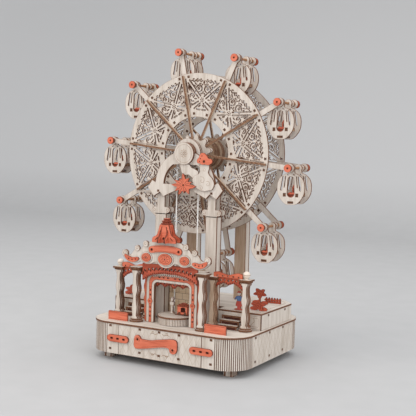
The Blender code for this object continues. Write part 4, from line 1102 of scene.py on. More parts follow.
@dataclass
class FiligreeDisc:
    """One laser-cut disc of the wheel, with the arms that carry the gondolas."""

    rim: float = 97.4
    rim_band: float = 6.4
    hole: float = 44.6
    hole_band: float = 7.4
    rosette: float = 65.4
    rim_peg: Point = (93.8, 14)
    hole_peg: Point = (48.7, 10.6)
    peg_size: float = 2.8
    arm_width: float = 6.6
    ear: float = 5.3
    bore: float = 2.1

    def scroll_work(self) -> list[Loop]:
        """Return one panel's cuts about the line midway between two spokes, which is the first axis.

        Returns:
            The cuts' outlines.
        """
        low = self.hole + self.hole_band
        grid = Tracing(low, -28.5, self.rim - self.rim_band + 0.5, 28.5, 0.2)

        def both(points: Loop, start: float, middle: float, end: float) -> None:
            """Draw a stroke and its mirror image, the points given on the drawn panel's own scale.

            Args:
                points: The stroke's points.
                start: Width at its start.
                middle: Width halfway.
                end: Width at its end.
            """
            spots = [(low + (x - 48.5) * 0.97, 1.045 * y) for x, y in points]
            for way in (1, -1):
                grid.stroke([(x, way * y) for x, y in spots], start + 0.5, middle + 0.8, end + 0.5)

        for line in ([(66.9, 2.4), (84.9, 19.7)], [(64.3, 4.8), (81, 21.3)], [(58, 2.1), (50.6, 9.3)],
                     [(59.9, 4.8), (53.3, 14)]):
            both(line, 1.2, 1.1, 1.2)
        both(spiral(76, 5.8, 4.3, 3.7, 195, 240), 0.6, 1.3, 0.9)
        both(spiral(76, 5.8, 1.8, 0.8, -40, 300), 0.3, 0.5, 1.1)
        both(spiral(66, 13.8, 3, 2.6, 130, -270), 0.4, 0.9, 0.7)
        both([(65.6, 13.2), (66.6, 14.4)], 0.6, 0.8, 0.6)
        vine = [(86.2, 2), (84.6, 4), (86.2, 6.4), (84.2, 8.6), (85.8, 11), (83.8, 13), (84.8, 15.6),
                (84.2, 17.2)]
        both(smooth_curve(vine, False, 6), 0.5, 1, 0.5)
        for dash in ([(87.4, 8.4), (87, 9.8)], [(80.4, 9.4), (82.4, 12.4)], [(87, 13.6), (86.4, 15.4)],
                     [(87.4, 3.8), (87.4, 5)], [(82.2, 3.2), (82, 6)], [(72.4, 18.2), (76.2, 20.6)],
                     [(62.9, 7.4), (62.6, 10.2)], [(59.2, 15.8), (57.2, 14.8)], [(69.4, 2), (70.6, 2.4)],
                     [(80.9, 1.3), (81.2, 2.2)], [(78.2, 11), (79.4, 12.4)], [(72, 9.6), (72.6, 9.9)]):
            both(dash, 0.5, 1, 0.5)
        both(smooth_curve([(71, 14.6), (74.2, 17.2), (77.8, 20.4)], False, 6), 0.5, 1.1, 0.6)
        both(smooth_curve([(61.2, 15.2), (59.6, 13), (59.6, 10.4)], False, 6), 0.5, 1, 0.5)
        both(smooth_curve([(56.4, 12.6), (55.6, 14.2)], False, 6), 0.4, 0.6, 0.4)
        both([(50, 1.6), (50.3, 5.6)], 1.4, 1.4, 1.4)
        both([(53.4, 3.4), (55.6, 1.6)], 0.8, 1, 0.6)
        for near, far in ((51, 66.5), (69, 85.5)):
            edge = [(a, (a * sin(SECTOR / 2) - 2.4) / cos(SECTOR / 2)) for a in (near, far)]
            both(edge, 0.6, 0.9, 0.6)
        grid.stroke([(88.4, 0), (84.4, 0)], 0.8, 2.4, 0.8)
        grid.stroke([(72.6, 0), (75.6, 0)], 0.8, 1.8, 1)
        grid.dab(self.rosette, 0, 0.8)
        for k in range(6):
            u, v = polar(2.3, pi / 6 + k * pi / 3)
            grid.dab(self.rosette + u, v, 0.6)
        return [loop for loop in grid.loops(0.06) if signed_area(loop) > 0]

    def peg_places(self) -> list[tuple[float, float]]:
        """Return radius and angle of every peg that pins the disc's layers."""
        return [(radius, FIRST_PIN + SECTOR * (i + 0.5) + side * radians(off))
                for i in range(GONDOLAS) for radius, off in (self.rim_peg, self.hole_peg) for side in (-1, 1)]

    def arm_outline(self) -> Loop:
        """Return an arm with its round ear, along the first axis.

        Returns:
            The outline.
        """
        half = self.arm_width / 2
        root = self.rim - self.rim_band - 2.0
        spread = asin(half / self.ear)
        return [(root, -half)] + arc(PIN_CIRCLE, 0, self.ear, spread - pi, pi - spread, 20) + [(root, half)]

    def build(self, name: str, node: str, side: int) -> None:
        """Make the disc with its pegs and arms.

        Args:
            name: The piece's name.
            node: The node of the model that it stands for.
            side: -1 for the front of the wheel and 1 for the back.
        """
        span = Span.of(node)
        outer, inner = (span.low[1], span.high[1]) if side < 0 else (span.high[1], span.low[1])
        plate_y = outer - side * PLY / 2
        loops = [circle(0, 0, self.rim, 240), circle(0, 0, self.hole, 120)]
        cuts = self.scroll_work()
        for i in range(GONDOLAS):
            loops += [turned_loop(cut, FIRST_PIN + SECTOR * (i + 0.5)) for cut in cuts]
        half = self.peg_size / 2
        for radius, angle in self.peg_places():
            loops.append(turned_loop(rect(radius - half, -half, radius + half, half), angle))
        piece = Piece(name)
        piece.plate(loops, BOARD, plate_y, PLY, AT_HUB)
        for radius, angle in self.peg_places():
            small = half - 0.45
            loop = turned_loop(rect(radius - small, -small, radius + small, small), angle)
            piece.plate([loop], PEG_BOARD, plate_y, PLY - 0.5, AT_HUB)
        arm = self.arm_outline()
        arm_y = (outer - side * PLY + inner) / 2
        for i in range(GONDOLAS):
            angle = FIRST_PIN + SECTOR * i
            piece.plate([turned_loop(arm, angle), turned_loop(circle(PIN_CIRCLE, 0, self.bore, 16), angle)],
                        BOARD, arm_y, abs(outer - side * PLY - inner), AT_HUB)
        piece.finish(node, body="wheel")


@dataclass
class SpokeStar:
    """The lobed hub star with ten fins that stand on their cut edge."""

    valley: float = 19.0
    lobe: float = 25.0
    fin: float = 2.4
    reach: float = 95.7
    bore: float = 2.3

    def star(self) -> Loop:
        """Return the star's outline.

        Returns:
            The outline.
        """
        points: Loop = []
        for i in range(GONDOLAS):
            for share, radius in ((0, self.valley), (0.18, self.valley + 0.6), (0.26, self.valley + 2.6),
                                  (0.34, self.lobe - 1.2), (0.5, self.lobe), (0.66, self.lobe - 1.2),
                                  (0.74, self.valley + 2.6), (0.82, self.valley + 0.6)):
                points.append(polar(radius, FIRST_PIN + SECTOR * (i + share)))
        return smooth_curve(points, True, 3)

    def build(self, name: str, node: str, side: int) -> None:
        """Make the star and its fins.

        Args:
            name: The piece's name.
            node: The node of the model that it stands for.
            side: -1 for the front of the wheel and 1 for the back.
        """
        span = Span.of(node)
        middle, height = span.middle[1], span.high[1] - span.low[1]
        outer = span.low[1] if side < 0 else span.high[1]
        piece = Piece(name)
        lean = side * height / 4
        piece.plate([self.star(), circle(0, 0, self.bore, 24)], BOARD, middle - lean, height / 2, AT_HUB)
        inner = [(x * 0.93, y * 0.93) for x, y in self.star()]
        piece.plate([inner, circle(0, 0, self.bore, 24)], BOARD, middle + lean * 0.99, height / 2 - 0.04,
                    AT_HUB)
        # The fins are cut from the birch darkened with painted shade.
        fin = Sheet(BIRCH_SHADED, Facing.FLAT, Axis.X)
        low, high = (outer + 0.1, outer + height - 0.1) if side < 0 else (outer - height + 0.1, outer - 0.1)
        shape = [(self.valley - 1, low), (self.reach, low), (self.reach, high), (self.valley - 1, high)]
        for i in range(GONDOLAS):
            turn = Matrix.Rotation(-(FIRST_PIN + SECTOR * i), 4, "Y")
            piece.plate([shape], fin, 0, self.fin, AT_HUB @ turn)
        piece.finish(node, body="wheel")


@dataclass
class Hub:
    """The belt pulley and the layered drum that turn between the two stars."""

    pulley: float = 18.0
    groove: float = 13.6
    bore: float = 2.3
    collar: float = 20.0
    drum: float = 17.0
    necks: tuple[float, float] = (11, 12)

    def rings(self, name: str, node: str, layers: list[tuple[float, float, float]], sheet: Sheet) -> None:
        """Make a stack of bored discs.

        Args:
            name: The piece's name.
            node: The node of the model that it stands for.
            layers: Radius, front and back of each disc.
            sheet: The sheet they are cut from.
        """
        piece = Piece(name)
        for radius, front, back in layers:
            piece.plate([circle(0, 0, radius, 96), circle(0, 0, self.bore, 24)], sheet, (front + back) / 2,
                        back - front, AT_HUB)
        piece.finish(node, body="wheel")

    def build(self) -> None:
        """Make the pulley, the drum and the axle's finish."""
        span = Span.of("wheel_pulley")
        front, back = span.low[1], span.high[1]
        flange = 1.4
        self.rings("belt_pulley", "wheel_pulley",
                   [(self.pulley, front, front + flange), (self.groove, front + flange, back - flange),
                    (self.pulley, back - flange, back)], BOARD)
        span = Span.of("hub_drum")
        low, high = span.low[1], span.high[1]
        layers = [(self.necks[0], low, WHEEL_Y - 8)]
        for start, stop, wide in ((-8, -1.4, self.drum), (-1.4, -0.6, self.drum - 2), (-0.6, 6, self.drum),
                                  (6, 6.8, self.drum - 1), (6.8, 14, self.collar)):
            layers.append((wide, WHEEL_Y + start, WHEEL_Y + stop))
        layers.append((self.necks[1], WHEEL_Y + 14, high))
        # The drum's discs are cut from the birch darkened with painted shade.
        self.rings("layered_drum", "hub_drum", layers, SHADED_BIRCH_BOARD)
        dress("main_axle", DOWEL.material(Axis.Y))


@dataclass
class Gondola:
    """A hanging cabin: two cut plates on rails, a coral seat, and the axle that it swings on."""

    plates: tuple[float, float] = (-16, 4)
    tab: Point = (7.8, -31)
    sill: float = -39.6
    rod: float = 1.5
    collar: Point = (3.2, 21.8)
    cap: Point = (4.6, 26.2)
    end: float = 28.2

    def outline(self) -> Loop:
        """Return a cabin plate's outline about its axle.

        Returns:
            The outline.
        """
        side = [(0, -42.3), (6.5, -41.7), (12.6, -36.4), (16.2, -30), (17.15, -23.7), (16.6, -17),
                (14, -11.4), (9.5, -7.6), (4.6, -5.5)]
        return symmetric(smooth_curve(side) + arc(0, 0, 4.6, radians(-30), pi / 2, 8))

    def cuts(self) -> list[Loop]:
        """Return the door, the tapering slots and the tabs' holes.

        Returns:
            The cuts' outlines.
        """
        made = [arc(0, -13.6, 4.3, 0, pi, 10) + arc(0, -28.9, 4.8, pi, 2 * pi, 12), circle(0, 0, self.rod, 12)]
        for way in (1, -1):
            for slot in ([(8.6, -10), (9.6, -9.1), (10.7, -9.6), (13.2, -25.2), (12.2, -26.4), (11, -25.6)],
                         [(6.4, -9.4), (7.2, -9.2), (8.8, -21.8), (8.3, -22.7), (7.7, -21.9)],
                         [(2.6, -6.4), (5, -7.4), (4.4, -8.2), (2.4, -7.6)]):
                made.append([(way * x, z) for x, z in slot])
            x, z = way * self.tab[0], self.tab[1]
            made.append(rect(x - 1.7, z - 2, x + 1.7, z + 2))
        made.append(rect(-3.5, self.sill - 1.3, 3.5, self.sill + 1.3))
        return made

    def seat(self, piece: Piece, turn: Matrix) -> None:
        """Add the coral bench, its skirt and its round back with slots.

        Args:
            piece: The piece that it belongs to.
            turn: Where the gondola hangs.
        """
        front, back = WHEEL_Y + self.plates[0] + 1, WHEEL_Y + self.plates[1] - 1.0
        bench = rect(-6, front + 0.1, 6, back - 0.1)
        piece.plate([bench], RED_FLAT, -31, PLY, turn)
        rest = [(-4.6, -30)] + arc(0, -23.6, 4.6, pi, 0, 14) + [(4.6, -30)]
        slots = [rect(x - 0.5, -29, x + 0.5, -22.0 - abs(x) * 0.6) for x in (-2.4, 0, 2.4)]
        piece.plate([rest] + slots, RED_BOARD, back - 4, PLY, turn)
        skirt = [(-4.4, -33.8), (-4.4, -28.8), (-2.2, -27.6), (0, -28.6), (2.2, -27.6), (4.4, -28.8),
                 (4.4, -33.8)]
        piece.plate([skirt, circle(0, -31.2, 0.8, 10)], RED_BOARD, front + 2.4, 1.6, turn)

    def axle(self, piece: Piece, at: Space) -> None:
        """Add the rod, its sleeve and washers, and at each end a collar under a coral cap.

        Args:
            piece: The piece that it belongs to.
            at: Where the gondola hangs.
        """
        wood = DOWEL.material(Axis.Y)
        reach = self.collar[1]
        piece.turned([(self.rod, -reach), (self.rod, reach)], at, Axis.Y, wood, 16)
        piece.turned([(2.4, self.plates[1] + 1), (2.4, 19.2)], at, Axis.Y, wood, 20)
        turn = Matrix.Translation((at[0], 0, at[2]))
        piece.plate([circle(0, 0, 4.2, 32)], BOARD, at[1] + 12, PLY, turn)
        for side in (-1, 1):
            near, far = self.collar[1], self.cap[1]
            piece.plate([circle(0, 0, self.collar[0], 28)], BOARD, at[1] + side * (near + far) / 2,
                        far - near, turn)
            piece.plate([circle(0, 0, self.cap[0], 36), circle(0, 0, 1.1, 14)], RED_BOARD,
                        at[1] + side * (far + self.end) / 2, self.end - far, turn)
            piece.turned([(1.1, -0.5), (1.1, 0.5)], (at[0], at[1] + side * (self.end - 1.2), at[2]), Axis.Y,
                         CHARRED_END_AND_HOLE_SHADE.material(Axis.Y), 14)

    def build(self, number: int) -> None:
        """Make one gondola where its axle hangs.

        Args:
            number: Its place round the wheel, from 1.
        """
        angle = FIRST_PIN + SECTOR * (number - 1)
        at = (PIN_CIRCLE * cos(angle), WHEEL_Y, HUB_Z + PIN_CIRCLE * sin(angle))
        turn = Matrix.Translation((at[0], 0, at[2]))
        piece = Piece(f"cabin_{number:02d}")
        loops = [self.outline()] + self.cuts()
        for y in self.plates:
            piece.plate(loops, BOARD, WHEEL_Y + y, PLY, turn)
        low, high = WHEEL_Y + self.plates[0] - 0.8, WHEEL_Y + self.plates[1] + 0.8
        for way in (1, -1):
            rail = rect(low, self.tab[1] - 1.8, high, self.tab[1] + 1.8)
            piece.plate([rail], Sheet(SMOKED, Facing.SIDE, Axis.Y), way * self.tab[0], 3, turn, 0)
        piece.plate([rect(-3.3, low, 3.3, high)], Sheet(SMOKED, Facing.FLAT, Axis.Y), self.sill, 2.2, turn, 0)
        self.seat(piece, turn)
        self.axle(piece, at)
        piece.finish(f"gondola_{number:02d}", body=f"gondola_body_{number:02d}")


# Stand: towers, brackets and their ornaments

@dataclass
class Tower:
    """A square post boxed from boards, with a capital of rolled volutes and a neck."""

    x: float
    node: str
    body: float = 7.3
    sheet: Sheet = BOARD
    volute: Point = (9.2, 3.6)
    neck: float = 5.3
    cap_below_hub: float = 65.5

    def build(self) -> None:
        """Make the post."""
        span = Span.of(self.node)
        low, high, foot = span.low[1], span.high[1], span.low[2]
        cap = HUB_Z - self.cap_below_hub
        piece = Piece(self.node + "_post")
        place = Matrix.Translation((self.x, 0, 0))
        for y in (low + PLY / 2, high - PLY / 2):
            piece.plate([rect(-self.body, foot, self.body, cap - 8)], self.sheet, y, PLY, place)
        for x in (1 - self.body, self.body - 1):
            piece.plate([rect(low + PLY, foot, high - PLY, cap - 8)], SIDE_BOARD, self.x + x, PLY)
        x, radius = self.volute
        half = [(0, cap - 9), (self.body + 0.4, cap - 9), (self.body + 0.6, cap - 7.2)]
        half += arc(x, cap - radius, radius, radians(-108), pi / 2, 14)
        half += [(self.neck, cap), (self.neck, span.high[2])]
        for y in (low + PLY / 2, high - PLY / 2):
            piece.plate([symmetric(half)], self.sheet, y, PLY, place)
        piece.board((self.x - self.body, low + PLY, cap - 9), (self.x + self.body, high - PLY, cap - 7),
                    FLAT_BOARD)
        for way in (-1, 1):
            piece.line([(way * px, pz) for px, pz in spiral(x, cap - radius, radius - 0.9, 0.5, 90, -420)],
                       low - 0.02, 0.4, turn=place)
        piece.finish(self.node)


@dataclass
class Bracket:
    """The arched plate that carries an end of the axle, its boss and, in front, its ornaments."""

    node: str
    side: int
    drop: float = -38.0
    outer: float = 41.0
    inner: float = 29.7
    boss: float = 13.2

    def outline(self) -> Loop:
        """Return the plate's outline about the hub.

        Returns:
            The outline.
        """
        half = [(0, -44.5), (10.5, -44), (21, -48.5), (29.5, -52.5), (34.5, -47.2), (43.5, -52.6),
                (52, -42), (45.8, -33.2), (41.2, -35.6)]
        half += arc(0, self.drop, self.outer, radians(7), radians(73.5), 22)
        half += arc(0, 0, 13.6, radians(5), pi / 2, 10)
        return symmetric(half)

    def window(self) -> Loop:
        """Return the arched window under the boss."""
        half = [(0, -31), (27.5, -37)] + arc(0, self.drop, self.inner, radians(2), radians(56), 14)
        return symmetric(half + arc(0, 0, 14, radians(-70), -pi / 2, 6))

    def build(self) -> None:
        """Make the plate of two layers and the boss with its engraved rosette."""
        span = Span.of(self.node)
        near = span.high[1] if self.side < 0 else span.low[1]
        piece = Piece(self.node + "_arch")
        pegs = [rect(x - 1.4, -47.2, x + 1.4, -44.8) for x in (-37, 37)]
        for k in range(2):
            loops = [self.outline(), self.window(), circle(0, 0, 2.3, 20)] + pegs
            piece.plate(loops, BOARD, near + self.side * (1.0 + PLY * k), PLY, AT_HUB)
        for peg in pegs:
            piece.plate([peg], PEG_BOARD, near + self.side * 2, 3.4, AT_HUB, 0)
        face = near + self.side * 4.0
        out = face + self.side * (3.5 if self.side < 0 else 2)
        piece.plate([circle(0, 0, self.boss, 72)], BOARD, (face + out) / 2, abs(out - face), AT_HUB)
        for k in range(8):
            petal = smooth_curve([(0.9, 0), (2.8, 1.1), (5, 0), (2.8, -1.1)], True)
            piece.line(turned_loop(petal, pi / 4 * k), out, 0.3, closed=True, turn=AT_HUB)
        piece.line(circle(0, 0, 10.8, 48), out, 0.25, closed=True, turn=AT_HUB)
        piece.finish(self.node)


@dataclass
class Ornaments:
    """The bough, the bell with its coral cap, and the coral star flower on the front bracket."""

    centre: Point = (1, -37.5)
    tips: tuple[Point, ...] = ((95, 14.2), (48, 11.6), (19, 12.6), (-3, 17.2), (-52, 13.2), (-84, 9.4), (-118, 13.4),
                               (-148, 13.4), (-180, 16.6), (-205, 13.8), (-235, 9.8))

    def flower(self) -> Loop:
        """Return the flower's outline of long and short petals.

        Returns:
            The outline.
        """
        made: Loop = []
        for (turn, reach), (after, other) in zip(self.tips, self.tips[1:] + ((-265, 13.6),)):
            gap = after - turn
            for share, far in ((0, reach), (0.21, 0.8 * reach), (0.5, 0.3 * (reach + other)),
                               (0.79, 0.8 * other)):
                made.append(polar(far, radians(turn + share * gap)))
        return shifted(made, *self.centre)

    def build(self) -> None:
        """Make the bell and the flower."""
        span = Span.of("bracket_bell")
        back = span.high[1]
        piece = Piece("bell_ornament")
        right = [(34.3, -12), (34.5, -17), (33.2, -20.5), (34.4, -24), (38.4, -28), (41, -32.6),
                 (41.2, -37), (38.6, -41.4), (35.6, -42.2), (30, -43.5)]
        left = [(24.8, -43.2), (18, -40.6), (13, -35), (12.2, -29.4), (15.2, -25.6), (20, -23.6),
                (22.2, -20.4), (21.6, -16.6), (22.2, -12)]
        bell = smooth_curve(right) + smooth_curve(left)
        piece.plate([bell], BOARD, back - PLY / 2, PLY, AT_HUB)
        bough = smooth_curve([(-5.4, -12.6), (-4.4, -18), (-2.6, -23.4), (1.4, -25.4), (6.4, -24.8), (10, -27.2),
                              (15, -30), (20, -22), (16, -18.6), (10.4, -16.4), (6, -12.6)], True)
        piece.plate([bough], BOARD, back - PLY / 2 + 0.1, PLY - 0.3, AT_HUB)
        face = back - PLY
        for x, z, size in ((25, -31, 4.6), (33, -35, 3.6), (24, -40, 2.8), (27.6, -18.6, 2.4)):
            piece.line(spiral(x, z, size, 0.6, 120, -380), face, 0.28, turn=AT_HUB)
        cap = smooth_curve([(18.8, -8.2), (19.8, -10.6), (23, -11.2), (26, -12.4), (30, -12), (33.4, -12.8),
                            (37.2, -11.4), (39.4, -9), (38.2, -5.6), (34.4, -5), (31.8, -1.6), (28.8, 1),
                            (25.2, 1.4), (22.6, -0.8), (21.6, -4), (19.4, -6)], True)
        # Three small holes show the pale bell through the cap as painted highlights.
        lights = [circle(x, z, 0.6, 10) for x, z in ((22.4, -8.6), (23.4, -5.4), (25.6, -2.2))]
        piece.plate([cap, circle(28.4, -8.6, 1.5, 18)] + lights, RED_BOARD, face - PLY / 2, PLY, AT_HUB)
        # A dark plug fills the cap's hole as its painted shade.
        piece.turned([(1.5, -0.5), (1.5, 0.5)], (28.4, face - 0.6, HUB_Z - 8.6), Axis.Y,
                     CHARRED_END_AND_HOLE_SHADE.material(Axis.Y), 16)
        piece.finish("bracket_bell")
        piece = Piece("star_flower")
        middle = face - PLY / 2 - 0.3
        piece.plate([self.flower(), circle(*self.centre, 1.2, 16)], RED_BOARD, middle, PLY, AT_HUB)
        for turn, reach in self.tips:
            vein = [polar(share * reach, radians(turn)) for share in (0.2, 0.82)]
            piece.line(shifted(vein, *self.centre), middle - PLY / 2, 0.45,
                       material=SOOT.material(Axis.Z), turn=AT_HUB)
        # A dark plug fills the flower's middle as painted shade of its hole.
        piece.turned([(1.2, -0.5), (1.2, 0.5)], (self.centre[0], middle, HUB_Z + self.centre[1]), Axis.Y,
                     CHARRED_END_AND_HOLE_SHADE.material(Axis.Y), 16)
        piece.finish("bracket_flower", slot="coral_ply")


# Base and platform

def stadium(half_length: float, half_width: float, x: float = 0, y: float = 0) -> Loop:
    """Return a strip outline with round ends."""
    run = half_length - half_width
    ends = arc(run, 0, half_width, -pi / 2, pi / 2, 8) + arc(-run, 0, half_width, pi / 2, 3 * pi / 2, 8)
    return shifted(ends, x, y)


def round_box(half_x: float, half_y: float, radius: float, y: float = 0, count: int = 12) -> Loop:
    """Return a rectangle with round corners, from the middle of its front side.

    Args:
        half_x: Half its width.
        half_y: Half its depth.
        radius: Radius of its corners.
        y: Its middle along the depth.
        count: Steps of each corner.

    Returns:
        The outline.
    """
    made: Loop = []
    for sx, sy, start in CORNERS:
        made += arc(sx * (half_x - radius), y + sy * (half_y - radius), radius, start, start + pi / 2, count)
    return made


@dataclass
class Base:
    """The base box: flat front panel, walls bent round kerfed corners, deck, floor and feet."""

    half_x: float = 105.0
    half_y: float = 87.7
    y: float = -6.4
    corner: float = 31.0
    kerfs: int = 20
    seam: float = 57.3
    low: float = 9.5
    high: float = 45.0
    peg_rows: Point = (15.2, 42.9)
    foot_x: float = 83.0
    foot_y: float = 65.7
    foot_half: float = 6.0

    def wall_line(self) -> Loop:
        """Return the wall's plan with a narrow kerf between the flutes of each bent corner.

        Returns:
            The outline.
        """
        outer: Loop = [(self.seam, self.y - self.half_y)]
        for sx, sy, start in CORNERS:
            x, y = sx * (self.half_x - self.corner), self.y + sy * (self.half_y - self.corner)
            for k in range(self.kerfs + 1):
                at = start + pi / 2 * k / self.kerfs
                for off, radius in ((-0.2, self.corner), (0, self.corner - 0.9), (0.2, self.corner)):
                    outer += shifted([polar(radius, at + off * pi / 2 / self.kerfs)], x, y)
        outer.append((-self.seam, self.y - self.half_y))
        inner = [(-self.seam, self.y - self.half_y + PLY)]
        box = round_box(self.half_x - PLY, self.half_y - PLY, self.corner - PLY, self.y)
        return outer + inner + box[::-1] + [(self.seam, self.y - self.half_y + PLY)]

    def lattice(self, piece: Piece, left: float, right: float, at: float, facing: Facing) -> None:
        """Engrave a faint lattice of diamonds in a wall's face.

        Args:
            piece: The piece that it belongs to.
            left: Where it starts along the wall.
            right: Where it ends.
            at: The face's place along its normal.
            facing: How the face stands.
        """
        step, high = 9.2, self.high - self.low - 4
        faint = FAINT.material(Axis.Z)
        for way in (-1, 1):
            for k in range(-4, int((right - left) / step) + 1):
                start = left + k * step
                a, b = (max(start, left), min(start + high * 0.56, right))
                if b - a < 2:
                    continue
                line = [(u, self.low + 2 + (u - start) / 0.56) for u in (a, b)]
                if way < 0:
                    line = [(u, self.low + self.high - v) for u, v in line]
                piece.line(line, at, 0.28, material=faint, facing=facing)

    def pegs(self, piece: Piece, places: list[float], rows: tuple[float, ...], at: float,
             facing: Facing) -> None:
        """Set brown tab ends in a wall.

        Args:
            piece: The piece that it belongs to.
            places: Their places along the wall.
            rows: Their heights.
            at: The face's place along its normal.
            facing: How the face stands.
        """
        for u in places:
            for v in rows:
                hole = rect(u - 1.7, v - 1.3, u + 1.7, v + 1.3)
                piece.plate([hole], Sheet(BURNT, facing, Axis.Z), at, 0.3, None, 0.4)

    def build(self) -> None:
        """Make the walls, the panel, the deck and the floor on its feet."""
        piece = Piece("kerfed_walls")
        piece.wall([self.wall_line()], self.low, self.high, 1.3)
        front = self.y - self.half_y
        self.pegs(piece, [-69, 69.0], self.peg_rows, front, Facing.FRONT)
        for side in (-1, 1):
            self.pegs(piece, [-54.2, -16.9, 20.1], self.peg_rows, side * self.half_x, Facing.SIDE)
            self.lattice(piece, self.y - 55, self.y + 55, side * self.half_x, Facing.SIDE)
        self.pegs(piece, [-60, -20, 60.0], self.peg_rows, self.y + self.half_y, Facing.FRONT)
        piece.finish("base_walls")

        piece = Piece("front_board")
        piece.board((0.3 - self.seam, front, self.low), (self.seam - 0.9, front + PLY, self.high), BOARD)
        self.pegs(piece, [-26.9, 0, 26.9], self.peg_rows, front, Facing.FRONT)
        self.lattice(piece, -55, 55, front, Facing.FRONT)
        for x in (-56.9, 56.9):
            piece.line([(x, self.low + 0.2), (x, self.high - 0.2)], front, 0.5,
                       material=BURNT.material(Part.FACE, Axis.Y, Axis.Z))
        for z, way in ((39.4, 1), (17.4, -1)):
            for x, turn in ((-12, 1), (14, -1)):
                leaf = smooth_curve([(0, 0), (3, 1.6 * way), (7, 0.4 * way), (10, 2.0 * way)])
                curl = spiral(3.2, 2.2 * way, 1.8, 0.3, 0, 400)
                for line, width in ((leaf, 0.5), (curl, 0.4)):
                    piece.line([(x + turn * u, z + v) for u, v in line], front, width)
        piece.finish("front_panel")
        self.deck()
        self.floor()

    def deck(self) -> None:
        """Make the deck plate with its slots and the two bare signs."""
        span = Span.of("deck")
        piece = Piece("deck_board")
        base = span.low[2]
        outline = round_box(self.half_x + 1, self.half_y + 1, self.corner + 1, self.y, 20)
        holes = [circle(0, -56.4, 2.6, 24)] + [stadium(1.8, 1.2, x, -37.2) for x in (-15, 15)]
        piece.plate([outline] + holes, FLAT_BOARD, base + PLY / 2)
        for side in (-1, 1):
            x, foot = side * 67, base + PLY
            half = [(0, foot), (14, foot), (14, foot + 9.6), (13.2, foot + 10.4), (0, foot + 10.4)]
            piece.plate([shifted(symmetric(half), x, 0)], RED_BOARD, -81)
            frame = rect(x - 12.8, foot + 1.3, x + 12.8, foot + 9.1)
            piece.line(frame, -82, 0.35, closed=True, material=SOOT.material(Axis.Z))
        piece.finish("deck")

    def floor(self) -> None:
        """Make the floor plate and its feet of crossed boards."""
        span = Span.of("base_floor")
        piece = Piece("floor_on_feet")
        top = span.high[2]
        piece.plate([round_box(self.half_x - 2.3, self.half_y - 2.3, self.corner - 2.3, self.y)], FLAT_BOARD,
                    top - 1)
        half = self.foot_half
        for x in (-self.foot_x, self.foot_x):
            for y in (self.y - self.foot_y, self.y + self.foot_y):
                for off in (-4.6, 0, 4.6):
                    piece.board((x - half, y + off - 1, 0), (x + half, y + off + 1, top - PLY), BOARD)
                for off in (-4, 4):
                    piece.board((x + off - 1, y - half, 0), (x + off + 1, y + half, top - PLY), SIDE_BOARD)
        piece.finish("base_floor", slot="burnt_birch")


@dataclass
class FrontPlates:
    """The coral joint plates over the seams and the bare scroll banner."""

    y: float = -95.4
    z: float = 28.3
    seam: float = 57.0
    rolls: tuple[Point, Point] = ((-28.5, 3.2), (19.8, -3.4))

    def build(self) -> None:
        """Make the three coral pieces."""
        for row, side in SIDES:
            piece = Piece(f"joint_strip_{row}")
            slots = [stadium(1.9, 1.15, side * self.seam + u, self.z) for u in (-8.6, 0, 8.6)]
            piece.plate([stadium(15.2, 4.2, side * self.seam, self.z)] + slots, RED_BOARD, self.y)
            # A dark sheet behind each slot is painted shade in the hole.
            for slot in slots:
                piece.plate([slot], HOLE_SHADE_BOARD, self.y + 0.7, 0.5, None, 0)
            piece.finish(f"joint_plate_{row}", slot="coral_ply")
        top = [(-33.2, 3.4), (-31.8, 7), (-28.6, 8.2), (-25.4, 6.8), (-24, 4.4), (-18, 3.9), (-10, 4.2), (1.5, 6.4),
               (13, 8.3), (20.6, 9), (24.8, 7.4), (25.8, 3)]
        bottom = [(25.6, -3.2), (23.6, -7), (19.6, -8), (16.2, -6.2), (15, -2.8), (11, -1.6), (1.5, -2.6),
                  (-10, -5), (-20, -6.8), (-30, -8), (-33.4, -5)]
        outline = shifted(smooth_curve((top + bottom)[::-1], True), 0, self.z)
        holes = [circle(x, self.z + z, 1.4, 16) for x, z in self.rolls]
        piece = Piece("scroll_banner")
        piece.plate([outline] + holes, RED_BOARD, self.y)
        dark, face = SOOT.material(Axis.Z), self.y - PLY / 2
        # A dark sheet behind each hole is painted shade in the hole.
        for hole in holes:
            piece.plate([hole], HOLE_SHADE_BOARD, self.y + 0.7, 0.5, None, 0)
        for start, (x, z) in zip((-60, 120), self.rolls):
            piece.line(spiral(x, self.z + z, 3.2, 2.3, start, 250), face, 0.35, material=dark)
        for line in ([(-22, 2.4), (-10, 2.6), (1.5, 4.8), (13, 6.6)],
                     [(-22, -5.2), (-10, -3.4), (1.5, -1), (12, 0)]):
            piece.line(shifted(smooth_curve(line, False, 5), 0, self.z), face, 0.3, material=dark)
        piece.finish("front_banner", slot="coral_ply")


